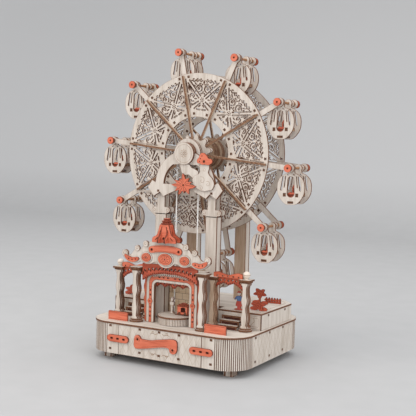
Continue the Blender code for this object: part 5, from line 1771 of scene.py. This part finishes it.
@dataclass
class Platform:
    """The raised rear platform with its garden, and the stairs on both sides of the gate."""

    side: float = 103.0
    front: float = -36.7
    back: float = 66.3
    chamfer: float = 18.0
    bay: float = 46.0
    bay_back: float = -21.2
    low: float = DECK_Z
    top: float = 67.3

    def plan(self, inset: float) -> Loop:
        """Return the platform's plan, drawn in by an inset.

        Args:
            inset: How far it is drawn in.

        Returns:
            The outline.
        """
        side, front, back = self.side - inset, self.front + inset, self.back - inset
        bay, bay_back, cut = self.bay + inset, self.bay_back + inset, self.chamfer
        return [(bay, front), (side, front), (side, back - cut), (side - cut, back), (cut - side, back),
                (-side, back - cut), (-side, front), (-bay, front), (-bay, bay_back), (bay, bay_back)]

    def bloom(self, piece: Piece, x: float, y: float, size: float, lean: float, lift: float = 0) -> None:
        """Stand one coral flower of round petals, with a leaf on each side.

        Args:
            piece: The piece that it belongs to.
            x: Its place across.
            y: Its place in depth.
            size: Reach of its petals.
            lean: Turn of its petals in radians.
            lift: How far it stands over the platform.
        """
        petals = [(reach * cos(t + lean), 0.74 * reach * sin(t + lean))
                  for t, reach in ((t, (0.8 + 0.2 * cos(5 * t)) * size)
                                   for t in (2 * pi * i / 50 for i in range(50)))]
        z = self.top + size * 0.62 + lift
        piece.plate([shifted(petals, x, z)], DEEP_CORAL_SHADE_BOARD, y)
        piece.plate([ellipse(x, z, size * 0.42, size * 0.42, 18)], DEEP_CORAL_SHADE_BOARD, y - 1.4, 1)
        dark = SOOT.material(Axis.Z)
        piece.line(spiral(x, z, size * 0.34, 0.3, 30, 560), y - 1.9, 0.45, material=dark)
        for k in range(5):
            turn = lean + 2 * pi * k / 5
            vein = [(x + r * size * cos(turn), z + 0.74 * r * size * sin(turn)) for r in (0.46, 0.86)]
            piece.line(vein, y - 1, 0.45, material=dark)
        leaf = smooth_curve([(0, 0), (size * 0.7, size * 0.26), (size * 1.2, 0), (size * 0.7, -size * 0.3)],
                            True)
        for way in (-1, 1):
            piece.plate([shifted(handed(leaf, way), x, self.top + 2)], DEEP_CORAL_SHADE_BOARD, y + 1.4, 1.2)

    def fence(self, piece: Piece, x: float, y: float) -> None:
        """Stand one coral picket fence.

        Args:
            piece: The piece that it belongs to.
            x: Its left end.
            y: Its place in depth.
        """
        loop: Loop = [(22, 0)]
        for i in range(6):
            u = 22.0 - 3.7 * i
            loop += [(u, 5.6), (u - 1.1, 6.9), (u - 2.2, 5.6), (u - 2.2, 2), (u - 3.7, 2)]
        loop = loop[:-1] + [(u - 2.2, 0)]
        piece.plate([shifted(loop, x, self.top)], DEEP_CORAL_SHADE_BOARD, y)
        piece.plate([shifted(rect(0.4, 3, 21.6, 4.6), x, self.top)], DEEP_CORAL_SHADE_BOARD, y - 1.5, 1)

    def build(self) -> None:
        """Make the platform and the stairs."""
        piece = Piece("garden_platform")
        piece.plate([self.plan(0)], FLAT_BOARD, self.top - PLY / 2)
        piece.wall([self.plan(0.2), self.plan(PLY)], self.low, self.top - PLY)
        for side in (-1, 1):
            x = side * (self.side - 0.2)
            for y in (-16.9, 29.3):
                piece.plate([rect(y - 1.7, 61.8, y + 1.7, 64.4)], Sheet(BURNT, Facing.SIDE, Axis.Z), x, 0.3,
                            None, 0.4)
            low, high = sorted((side * 83.4, side * 101.2))
            for gap in (0, 2.2):
                frame = rect(low + gap, self.low + 1.6 + gap, high - gap, self.top - 3.6 - gap)
                piece.line(frame, self.front + 0.2, 0.4, closed=True)
            sprig = smooth_curve([(-3, 52), (-1, 55), (1.6, 57.6), (0.2, 61)], False, 5)
            piece.line([(side * 92.3 + u, v) for u, v in sprig], self.front + 0.2, 0.4)
            edge = self.side - 6.5
            border = [(self.bay + 6, self.front + 4), (edge, self.front + 4),
                      (edge, self.back - self.chamfer - 2.6), (edge - self.chamfer + 2.6, self.back - 4.8)]
            piece.line([(side * u, v) for u, v in border], self.top, 0.35, facing=Facing.FLAT)
            self.fence(piece, side * 83.0 - 11, 36)
            self.bloom(piece, side * 90, -19, 9.6, 0.3)
            self.bloom(piece, side * 73, 20, 9, 0.9, 8)
            piece.board((side * 73.0 - 1, 19.2, self.top), (side * 73.0 + 1, 20.8, self.top + 8), DEEP_CORAL_SHADE_BOARD)
            corner = sorted((side * (self.side - 1), side * (self.side + 0.05)))
            piece.board((corner[0], self.front - 0.05, self.low),
                        (corner[1], self.front + 1, self.top - PLY), PEG_BOARD)
        piece.finish("platform")
        self.stairs()

    def stairs(self) -> None:
        """Make both flights of stairs, with risers set back under the treads."""
        rise, tread, wall = 4.925, 5.5, -37.0
        for row, side in SIDES:
            piece = Piece(f"steps_{row}")
            low, high = sorted((side * 54, side * 79.5))
            for i in range(1, 4):
                top, edge = self.low + rise * i, wall - tread * (4 - i)
                piece.board((low, edge, top - PLY), (high, min(edge + tread + 1, wall), top), FLAT_BOARD)
                # The dark riser under each tread is painted shade in the gap.
                piece.plate([rect(low + 0.6, top - rise, high - 0.6, top - PLY)], HOLE_SHADE_BOARD, edge + 1.8, 1.2)
            for x in (low + 1, high - 1):
                profile = [(wall, self.low), (wall, self.low + 3 * rise - PLY)]
                for i in (3, 2, 1):
                    y = wall - tread * (4 - i) + 0.6
                    profile += [(y, self.low + rise * i - PLY),
                                (y, self.low + rise * (i - 1) - (PLY if i > 1 else 0))]
                piece.plate([profile[::-1]], SIDE_BOARD, x)
            piece.finish(f"stairs_{row}")


# Gate and stage

@dataclass
class Column:
    """A baluster column of crossed layered plates, on a stepped round foot and under a square capital."""

    x: float
    y: float
    height: float
    foot: float = DECK_Z
    waist: float = 4.4
    base: float = 8.2
    cap: float = 7.0
    sheet: Sheet = BOARD

    SHAPE = ((0, 1.3), (0.035, 1.3), (0.05, 0.9), (0.08, 0.86), (0.16, 1.06), (0.24, 1.13), (0.34, 0.84), (0.44, 0.64),
             (0.5, 0.8), (0.56, 1.1), (0.64, 1.15), (0.72, 0.82), (0.84, 0.7), (0.93, 0.92), (0.955, 1.3), (1, 1.3))

    def add(self, piece: Piece, ball: float) -> None:
        """Add the column to a piece.

        Args:
            piece: The piece that it belongs to.
            ball: Radius of the ball on its capital, or zero for none.
        """
        place = Matrix.Translation((self.x, self.y, 0))
        low, run = self.foot + 2 * PLY, self.height - 4 * PLY
        half = smooth_curve([(self.waist * wide, low + run * up) for up, wide in self.SHAPE], False, 3)
        outline = symmetric(half)
        for k, share in ((-2, 0.7), (-1, 0.9), (0, 1), (1, 0.9), (2, 0.7)):
            piece.plate([[(x * share, z) for x, z in outline]], self.sheet, PLY * k, PLY, place)
        for k, radius in enumerate((self.base, self.base - 1.2)):
            piece.plate([circle(0, 0, radius, 40)], FLAT_BOARD, self.foot + PLY * (k + 0.5), PLY, place)
        top = low + run
        for k, half_cap in enumerate((self.cap - 1.4, self.cap)):
            layer = rect(-half_cap, -half_cap, half_cap, half_cap)
            piece.plate([layer], FLAT_BOARD, top + PLY * (k + 0.5), PLY, place)
        if ball:
            add_ball(piece, (self.x, self.y, top + 2 * PLY + ball + 0.8), ball)


def add_ball(piece: Piece, at: Space, radius: float) -> None:
    """Add a turned ball on a short neck.

    Args:
        piece: The piece that it belongs to.
        at: Its middle.
        radius: Its radius.
    """
    wood = TURNED.material(Axis.Z)
    profile = [(0.2 * radius, -radius - 1.2), (0.46 * radius, -radius - 1.2), (0.4 * radius, -0.93 * radius)]
    profile += [(radius * cos(t), radius * sin(t)) for t in (radians(-62 + 19 * k) for k in range(8))]
    piece.turned(profile + [(0.05, radius)], at, Axis.Z, wood, 24)
    piece.turned([(radius * 1.02, -0.18), (radius * 1.02, 0.18)], at, Axis.Z, SCORCH.material(Axis.X), 24)


@dataclass
class Lace:
    """A valance cut as lace: straight above, scallops that hang in drapes below."""

    left: float
    right: float
    top: float
    drops: tuple[float, ...]
    scallop: float = 2.6

    def depth(self, x: float) -> float:
        """Return how deep the lace hangs at a place."""
        run, steps = self.right - self.left, len(self.drops) - 1
        places = [self.left + run * i / steps for i in range(steps + 1)]
        return float(np.interp(x, places, self.drops))

    def loops(self) -> list[Loop]:
        """Return its outline and holes.

        Returns:
            The outline, then the holes.
        """
        count = max(6, round((self.right - self.left) / self.scallop))
        step = (self.right - self.left) / count
        lower: Loop = []
        holes: list[Loop] = []
        for i in range(count):
            x = self.left + step * i
            for share, hang in ((0, 0), (0.2, 0.7), (0.5, 1.1), (0.8, 0.7)):
                lower.append((x + share * step, self.top - self.depth(x + share * step) - hang))
            middle = x + step / 2
            deep = self.depth(middle)
            holes.append(ellipse(middle, self.top - deep + 0.5, 0.55, 0.8, 8))
            if deep > 4.4 and i % 2:
                holes.append(ellipse(middle, self.top - deep / 2 + 0.2, step * 0.5, min(deep * 0.16, 1.5), 10))
            if deep > 9.0 and not i % 2:
                holes.append(ellipse(middle, self.top - deep * 0.62, 0.6, deep * 0.12, 8))
        lower.append((self.right, self.top - self.depth(self.right)))
        return [lower + [(self.right, self.top), (self.left, self.top)]] + holes


@dataclass
class Gate:
    """The show front: columns, arch, baroque pediment, bell roof, laces and the room behind."""

    foot: float = DECK_Z
    arch_half: float = 34.9
    arch_height: float = 61.0
    opening: float = 24.6
    opening_height: float = 49.0
    pediment_foot: float = 115.3
    pediment_y: float = -82.5
    column_x: float = 45.5
    outer_x: float = 88.0
    front_y: float = -74.2
    rear_y: float = -47.7

    def doorway(self, half: float, height: float, corner: float) -> Loop:
        """Return the right half of a door outline with round top corners."""
        return [(half, self.foot)] + arc(half - corner, self.foot + height - corner, corner, 0, pi / 2, 10)

    def frame(self, outer: Loop, inner: Loop) -> Loop:
        """Return a door frame open at the floor, as one outline, from its two right halves."""
        return outer + mirror(outer) + [(-x, y) for x, y in inner] + inner[::-1]

    def arch(self) -> None:
        """Make the arch of pale plates and the coral frame with curtain edges between them."""
        span = Span.of("gate_arch")
        piece = Piece("entrance_arch")
        outer = self.doorway(self.arch_half, self.arch_height, 13)
        inner = self.doorway(self.opening, self.opening_height, 5)
        middle = span.middle[1]
        piece.plate([self.frame(outer, inner)], BOARD, middle)
        near = self.doorway(self.opening + 2.9, self.opening_height + 2.9, 7.2)
        far = self.doorway(self.arch_half - 3.5, self.arch_height - 3.5, 9.7)
        for band in (self.frame(near, inner), self.frame(outer, far)):
            piece.plate([band], BOARD, span.low[1] - 1.3)
        piece.finish("gate_arch")

        span = Span.of("arch_overlay")
        middle = span.middle[1] - 0.1
        waves = [(36, 0), (38.8, 3), (37.4, 8), (39.4, 14), (37.8, 20), (39.6, 27), (38, 34), (39.8, 42),
                 (38.2, 49), (39.4, 56), (36.6, 58)]
        piece = Piece("curtain_arch")
        band_out = self.doorway(self.arch_half - 3.7, self.arch_height - 3.7, 9.5)
        band_in = self.doorway(self.opening + 3.1, self.opening_height + 3.1, 7.4)
        loops = [self.frame(band_out, band_in)]
        post = (self.arch_half + self.opening) / 2 - 0.3
        lintel = self.foot + (self.arch_height + self.opening_height) / 2
        for way in (-1, 1):
            x = way * post
            for z in (7, 12.5, 18, 33, 38.5):
                loops.append(ellipse(x, self.foot + z, 0.75, 1.25, 12))
            for u in (5, 11, 17):
                loops.append(ellipse(way * u, lintel, 1.3, 0.75, 12))
        piece.plate(loops, RED_BOARD, middle)
        for way in (-1, 1):
            x = way * post
            piece.plate([circle(x, self.foot + 25.5, 3.3, 28), circle(x, self.foot + 25.5, 1, 12)], RED_BOARD,
                        middle - 1.4, 1)
            curtain = smooth_curve([(x, self.foot + z) for x, z in waves])
            curtain += [(33, self.foot + 58), (33, self.foot)]
            piece.plate([handed(curtain, way)], RED_BOARD, middle + 1, 1.6)
        piece.finish("arch_overlay", slot="coral_ply")

    def pediment(self) -> None:
        """Make the pediment with its medallions, bare sign, wings and balls."""
        foot = self.pediment_foot
        half = [(0, 1.4), (5, 2.2), (9.4, 5), (12.8, 7.4), (16.6, 6.8), (20.4, 4.8), (26.4, 4.2), (31.4, 5.6),
                (34.6, 6.8), (38.6, 4.6), (46, 3), (52.4, 5), (57.4, 8.6), (60.4, 12.4), (56, 14), (50, 13.4),
                (46.8, 15.4), (43.6, 19.6), (38.6, 20.6), (34.6, 21.2), (31.8, 24.8), (27, 26.4), (22.8, 30.2),
                (18.4, 32), (0, 32.4)]
        outline = symmetric(smooth_curve([(x, foot + z) for x, z in half], False, 3))
        y = self.pediment_y
        piece = Piece("baroque_pediment")
        piece.plate([outline], BOARD, y)
        front = y - 1.9
        dark = SOOT.material(Axis.Z)
        for x, z, wide, high in ((0, 11.6, 9.4, 6.7), (-26.2, 12, 6.4, 5.2), (26.2, 12, 6.4, 5.2)):
            piece.plate([ellipse(x, foot + z, wide + 1.6, high + 1.6, 40)], BOARD, y - 1.1, 0.8)
            piece.plate([ellipse(x, foot + z, wide, high, 40), circle(x, foot + z, 0.9, 12)], RED_BOARD,
                        front, 1.8)
            piece.line(ellipse(x, foot + z, wide * 0.74, high * 0.72, 32), front - 0.9, 0.4, closed=True,
                       material=dark)
            for k in range(8):
                turn = pi / 4 * k + 0.2
                piece.line([(x + r * wide * cos(turn), foot + z + r * high * sin(turn)) for r in (0.26, 0.56)],
                           front - 0.9, 0.5, material=dark)
        for way in (-1, 1):
            wing = smooth_curve([(36.4, 9.4), (38.6, 11.4), (42.6, 11), (47, 10.6), (51.6, 12.2), (55.4, 13.6),
                                 (57, 12), (54.6, 8.4), (50.6, 5.8), (45.6, 5), (40, 6.2)], True)
            dots = [circle(way * x, foot + z, 0.8, 12) for x, z in ((41, 8.8), (45.8, 8), (50.6, 8.8))]
            piece.plate([shifted(handed(wing, way), 0, foot)] + dots, RED_BOARD, front, 1.8)
            for x, z, size in ((56.4, 14.8, 4.4), (39.2, 22, 3.5), (27.4, 28, 3.7)):
                piece.plate([circle(way * x, foot + z, size, 32)], BOARD, y - 0.9, 2.4)
                piece.line([(way * u, foot + v) for u, v in spiral(x, z, size - 0.9, 0.4, 200, -430)], y - 2.1,
                           0.35)
        bend, half = 86, 4
        middle = foot + 24.0 - bend
        right, left = radians(77.4), radians(102.6)
        sign = arc(0, middle, bend + half, right, left, 16)
        sign += arc(bend * cos(left), middle + bend * sin(left), half, radians(112), radians(272), 10)
        sign += arc(0, middle, bend - half, left, right, 16)
        sign += arc(bend * cos(right), middle + bend * sin(right), half, radians(-92), radians(68), 10)
        holes = [circle(way * 18.4, middle + bend * sin(radians(77.6)), 1.5, 16) for way in (-1, 1)]
        piece.plate([sign] + holes, RED_BOARD, front, 1.8)
        # A dark sheet behind each hole is painted shade in the hole.
        for hole in holes:
            piece.plate([hole], HOLE_SHADE_BOARD, front + 0.6, 0.4, None, 0)
        for off in (-2.8, 2.8):
            piece.line(arc(0, middle, bend + off, radians(80), radians(100), 12), front - 0.9, 0.3,
                       material=dark)
        piece.finish("pediment")

    def roof(self) -> None:
        """Make the flared bell roof of crossed coral plates with its rings."""
        span = Span.of("roof_bell")
        foot, top = span.low[2] - 2, span.high[2] - 4.0
        rise = top - foot - 7.0
        piece = Piece("bell_roof")
        profile = [(15.6, 0), (16.4, 1.4), (15.4, 5.6), (12.2, 7.4), (9.6, 9.6), (7.9, 14), (6.6, 19),
                   (5.8, rise)]
        for turn, size in ((0, 1), (90, 0.74)):
            half = smooth_curve([(x * size, foot + z) for x, z in profile], False, 3)
            slots = [[(way * u * size, foot + v) for u, v in ((far - 0.6, low), (far + 0.6, low), (near + 0.5, high),
                                                              (near - 0.3, high))]
                     for way in (-1, 1) for near, far, low, high in ((2.9, 5.4, 4.6, 18.6), (8.6, 11.6, 3, 6.2))]
            slots.append(ellipse(0, foot + 5, 2.0 * size, 1.5, 16))
            lean = Matrix.Translation((0, self.pediment_y, 0)) @ Matrix.Rotation(radians(turn), 4, "Z")
            for off in (-4.6, 4.6):
                piece.plate([symmetric(half)] + slots, RED_BOARD, off, PLY, lean)
        place = Matrix.Translation((0, self.pediment_y, 0))
        for z, radius, size in ((0, 6.6, 1.4), (1.5, 5.2, 1.4), (3, 5.8, 1.2), (4.3, 3.8, 2.6)):
            piece.plate([circle(0, 0, radius, 36)], RED_FLAT, foot + rise + z + size / 2, size, place)
        piece.finish("roof_bell", slot="coral_ply")

    def laces(self) -> None:
        """Make the coral lace over the entrance with its pale fringe, and the smaller lace within the arch."""
        span = Span.of("gate_valance")
        piece = Piece("entrance_lace")
        middle = span.middle[1]
        top = self.pediment_foot + 3.4
        drops = (20, 15, 12, 10.6, 9.6, 10, 9.6, 10.6, 12, 15, 20)
        # The laces over the entrance and within the arch are darkened with painted shade.
        piece.plate(Lace(-38, 38, top, drops).loops(), DEEP_CORAL_SHADE_BOARD, middle)
        fringe = tuple(d + 2.8 for d in drops[2:-2])
        piece.plate(Lace(-24, 24, top - 0.4, fringe).loops(), BOARD, middle + 2, 1.2)
        inside = Lace(-self.opening, self.opening, self.foot + self.opening_height + 1, (7, 3, 6, 3, 7.6, 3, 6,
                                                                                          3, 7), 2.2)
        piece.plate(inside.loops(), DEEP_CORAL_SHADE_BOARD, -63.4, 1.6)
        piece.finish("gate_valance", slot="coral_ply")

    def columns(self) -> None:
        """Make the front columns, and both rear pairs with their rail and lace."""
        for row, side in SIDES:
            piece = Piece(f"front_column_{row}")
            Column(side * self.column_x, self.front_y, 66).add(piece, 0)
            piece.finish(f"column_front_{row}")
            piece = Piece(f"side_colonnade_{row}")
            # The inner rear column takes the birch darkened with painted shade; the outer one stays plain lit birch.
            Column(side * self.column_x, self.rear_y, 60, sheet=SHADED_BIRCH_BOARD).add(piece, 0)
            Column(side * self.outer_x, self.rear_y, 60).add(piece, 4.3)
            low, high = sorted((side * 46, side * 84))
            rail = smooth_curve([(0, 5.4), (6, 6.6), (12, 5.2), (19, 3.6), (26, 5.2), (32, 6.6), (38, 5.4)])
            rail = [(38, 0.2), (38, 5.4)] + rail[::-1][1:-1] + [(0, 5.4), (0, 0.2)]
            dots = [ellipse(low + u, 109.3, 1, 0.8, 12) for u in (5, 12, 19, 26, 33)]
            piece.plate([shifted(rail, low, 107.4)] + dots, RED_BOARD, -49.2)
            lace = Lace(low, high, 107.9, (14, 9, 6, 8.4, 6, 9, 14))
            # The side lace is darkened with painted shade.
            piece.plate(lace.loops(), DEEP_CORAL_SHADE_BOARD, self.rear_y)
            piece.finish(f"side_gate_{row}")

    def room(self) -> None:
        """Make the room's back wall with its engraved courses and trellis, and the ceiling."""
        span = Span.of("room_wall")
        piece = Piece("room_back")
        low, high, face = span.low[2], span.high[2], span.low[1]
        # The back wall is brightened and warmed with painted bounce light.
        piece.board((-34.2, face, low), (34.2, face + PLY, high), BOUNCE_LIT_BOARD)
        for k in range(1, 8):
            z = low + (high - low) * k / 8
            piece.line([(-33.6, z), (33.6, z)], face, 0.35)
            for j in range(-3, 4):
                x = j * 9.6 + (4.8 if k % 2 else 0)
                piece.line([(x, z), (x, z - 7.4)], face, 0.35)
        for k in range(7):
            turn = radians(-60 + 20 * k)
            tips = [(0, 0), (7 * sin(turn), 9 * cos(turn)), (13 * sin(turn * 1.2), 15 * cos(turn))]
            stem = smooth_curve(tips, False, 5)
            piece.line([(12.0 + u, 84.0 + v) for u, v in stem], face, 0.9, material=TINT.material(Axis.X))
        piece.finish("room_wall")
        span = Span.of("room_ceiling")
        piece = Piece("room_lid")
        piece.board(span.low, span.high, FLAT_BOARD)
        piece.finish("room_ceiling")

    def build(self) -> None:
        """Make the whole gate."""
        self.arch()
        self.columns()
        self.pediment()
        self.roof()
        self.laces()
        self.room()


@dataclass
class Stage:
    """The turning stage: a disc on a fluted drum, with a coral cart and a plain figure."""

    y: float = -56.4
    top: float = 57.8
    radius: float = 22.5
    wall: float = 21.8
    flutes: int = 72

    def drum(self) -> None:
        """Make the disc and the kerfed drum wall."""
        piece = Piece("fluted_stage")
        place = Matrix.Translation((0, self.y, 0))
        piece.plate([circle(0, 0, self.radius, 96), circle(0, 0, 2.3, 20)], FLAT_BOARD, self.top - 1, PLY,
                    place)
        piece.line(circle(0, 0, self.radius - 2.2, 72), self.top, 0.35, True, turn=place, facing=Facing.FLAT)
        outer: Loop = []
        for k in range(self.flutes):
            for share, radius in ((0, self.wall - 0.6), (0.16, self.wall), (0.84, self.wall)):
                outer += shifted([polar(radius, 2 * pi * (k + share) / self.flutes)], 0, self.y)
        piece.wall([outer, circle(0, self.y, self.wall - PLY, 48)], 47.8, self.top - PLY, 0.9)
        piece.finish("stage_table", body="stage")

    def cart(self) -> None:
        """Make the coral cart with its window, roof and wheels."""
        span = Span.of("stage_cart")
        foot, front, back = span.low[2], span.low[1], span.high[1]
        piece = Piece("coral_cart")
        side = [(2.6, 1.6), (16.4, 1.6), (16.4, 10.4), (2.6, 10.4)]
        window = [(7.4, 4), (13.8, 4), (13.8, 9), (10.6, 9.8), (7.4, 9)]
        for y in (front + 1, back - 1):
            piece.plate([shifted(side, 0, foot), shifted(window, 0, foot)], RED_BOARD, y)
        # Three dark strips in the window are painted shade inside the cart.
        for u in (8.9, 10.6, 12.3):
            piece.board((u - 0.3, front + 0.5, foot + 4), (u + 0.3, front + 1.3, foot + 9.4), HOLE_SHADE_BOARD, 0)
        for x in (3.6, 15.4):
            piece.board((x - 1, front + 2, foot + 1.6), (x + 1, back - 2, foot + 10.4),
                        Sheet(CORAL, Facing.SIDE, Axis.Y))
        piece.board((2, front, foot + 0.4), (17, back, foot + 1.6), RED_FLAT)
        for k, (low, high) in enumerate(((2, 17), (3.6, 15.4), (6.4, 12.6))):
            inset, rise = 1.2 * k, foot + 10.4 + 1.3 * k
            piece.board((low, front + inset, rise), (high, back - inset, rise + 1.3), RED_FLAT)
        for x in (5.4, 13.4):
            piece.plate([circle(x, foot + 1.9, 1.8, 20), circle(x, foot + 1.9, 0.5, 8)], PEG_BOARD,
                        front - 0.1, 1)
        piece.finish("stage_cart", slot="coral_ply", body="stage")

    def figure(self) -> None:
        """Make the plain standing figure, a smooth mannequin with no features."""
        span = Span.of("stage_figure")
        foot, x = span.low[2], span.middle[0]
        piece = Piece("plain_figure")
        half = [(0, 0), (3.2, 0), (3, 1.2), (1.6, 1.8), (1.9, 6), (1.6, 9), (2.9, 10.4), (3.4, 13.6), (2.6, 14.6),
                (0.9, 15), (0.8, 15.8)]
        half += arc(0, 17.9, 2.2, radians(-60), pi / 2, 10)
        outline = symmetric(smooth_curve(half, False, 3))
        middle = span.middle[1]
        place = Matrix.Translation((x, 0, foot))
        piece.plate([outline], BOARD, middle, PLY, place)
        smaller = [(u * 0.72, 0.6 + v * 0.93) for u, v in outline]
        for side in (-1, 1):
            piece.plate([smaller], BOARD, middle + side * 1.3, 0.7, place)
        piece.line([(-2.6, 10.4), (2.6, 10.4)], middle - 1.65, 0.4, turn=place)
        piece.finish("stage_figure", body="stage")

    def standee(self) -> None:
        """Make the flat printed standee on the platform, a plain person in a blue coat and red skirt."""
        span = Span.of("standee")
        foot, (x, y, _) = span.low[2], span.middle
        place = Matrix.Translation((x, 0, foot))
        piece = Piece("printed_standee")
        red, blue = Sheet(PRINT_RED, Facing.FRONT, Axis.Z), Sheet(PRINT_BLUE, Facing.FRONT, Axis.Z)
        half = [(0, 0), (6, 0), (6, 1.2), (2.4, 1.8), (2.2, 4), (4.6, 5), (3.2, 10.6), (0, 10.9)]
        piece.plate([symmetric(half)], red, y, PLY, place)
        half = [(0, 10.9), (2.8, 10.7), (3.2, 13), (5.8, 11.6), (6.3, 13), (3.4, 16.6), (1.2, 17.2), (0, 17.2)]
        piece.plate([symmetric(half)], blue, y, PLY, place)
        piece.plate([circle(0, 19.6, 2.5, 28)], BOARD, y, PLY, place)
        hat = [(0, 20.6), (3, 20.4), (2.2, 21.4), (1.6, 22.6), (0, 22.6)]
        piece.plate([symmetric(hat)], red, y - 0.2, PLY, place)
        piece.finish("standee", slot="printed_ply")

    def build(self) -> None:
        """Make the stage, what stands on it and the standee beside the gate."""
        self.drum()
        self.cart()
        self.figure()
        self.standee()
        dress("stage_shaft", DOWEL.material(Axis.Z))


# Carried-over nodes

@dataclass
class DriveDress:
    """Finishes for the drive's nodes, whose own shape is kept."""

    plates: tuple[str, ...] = ("bearing_front", "bearing_rear", "crank_arm", "drive_gear")

    def build(self) -> None:
        """Dress each node."""
        for node in self.plates:
            dress(node, BIRCH.material(Part.WHOLE, Axis.Y, Axis.Z))
        dress("crank_knob", CORAL.material(Part.WHOLE, Axis.Y, Axis.X))
        dress("drive_pulley", SMOKED.material(Part.WHOLE, Axis.Y, Axis.X))
        for node in ("drive_shaft", "crank_shaft"):
            dress(node, DOWEL.material(Axis.Y))
        dress("drive_belt", CORD.material(Axis.Z))


def main() -> None:
    """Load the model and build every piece."""
    logging.basicConfig(level=logging.INFO, format="%(name)s %(message)s")
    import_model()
    Studio().build()
    DriveDress().build()
    for row, side in (("front", -1), ("back", 1)):
        FiligreeDisc().build(f"filigree_{row}", f"disc_{row}", side)
        SpokeStar().build(f"spoke_star_{row}", f"spokes_{row}", side)
    Hub().build()
    for number in range(1, GONDOLAS + 1):
        Gondola().build(number)
    for row, side in (("front", -1), ("rear", 1)):
        # The rear towers take the birch darkened with painted shade; the front towers take plain birch.
        sheet = BOARD if side < 0 else SHADED_BIRCH_BOARD
        Tower(-35.4, f"tower_{row}_left", sheet=sheet).build()
        Tower(35.4, f"tower_{row}_right", sheet=sheet).build()
        Bracket(f"bracket_{row}", side).build()
    Ornaments().build()
    Base().build()
    FrontPlates().build()
    Platform().build()
    Gate().build()
    Stage().build()


if __name__ == "__main__":
    main()
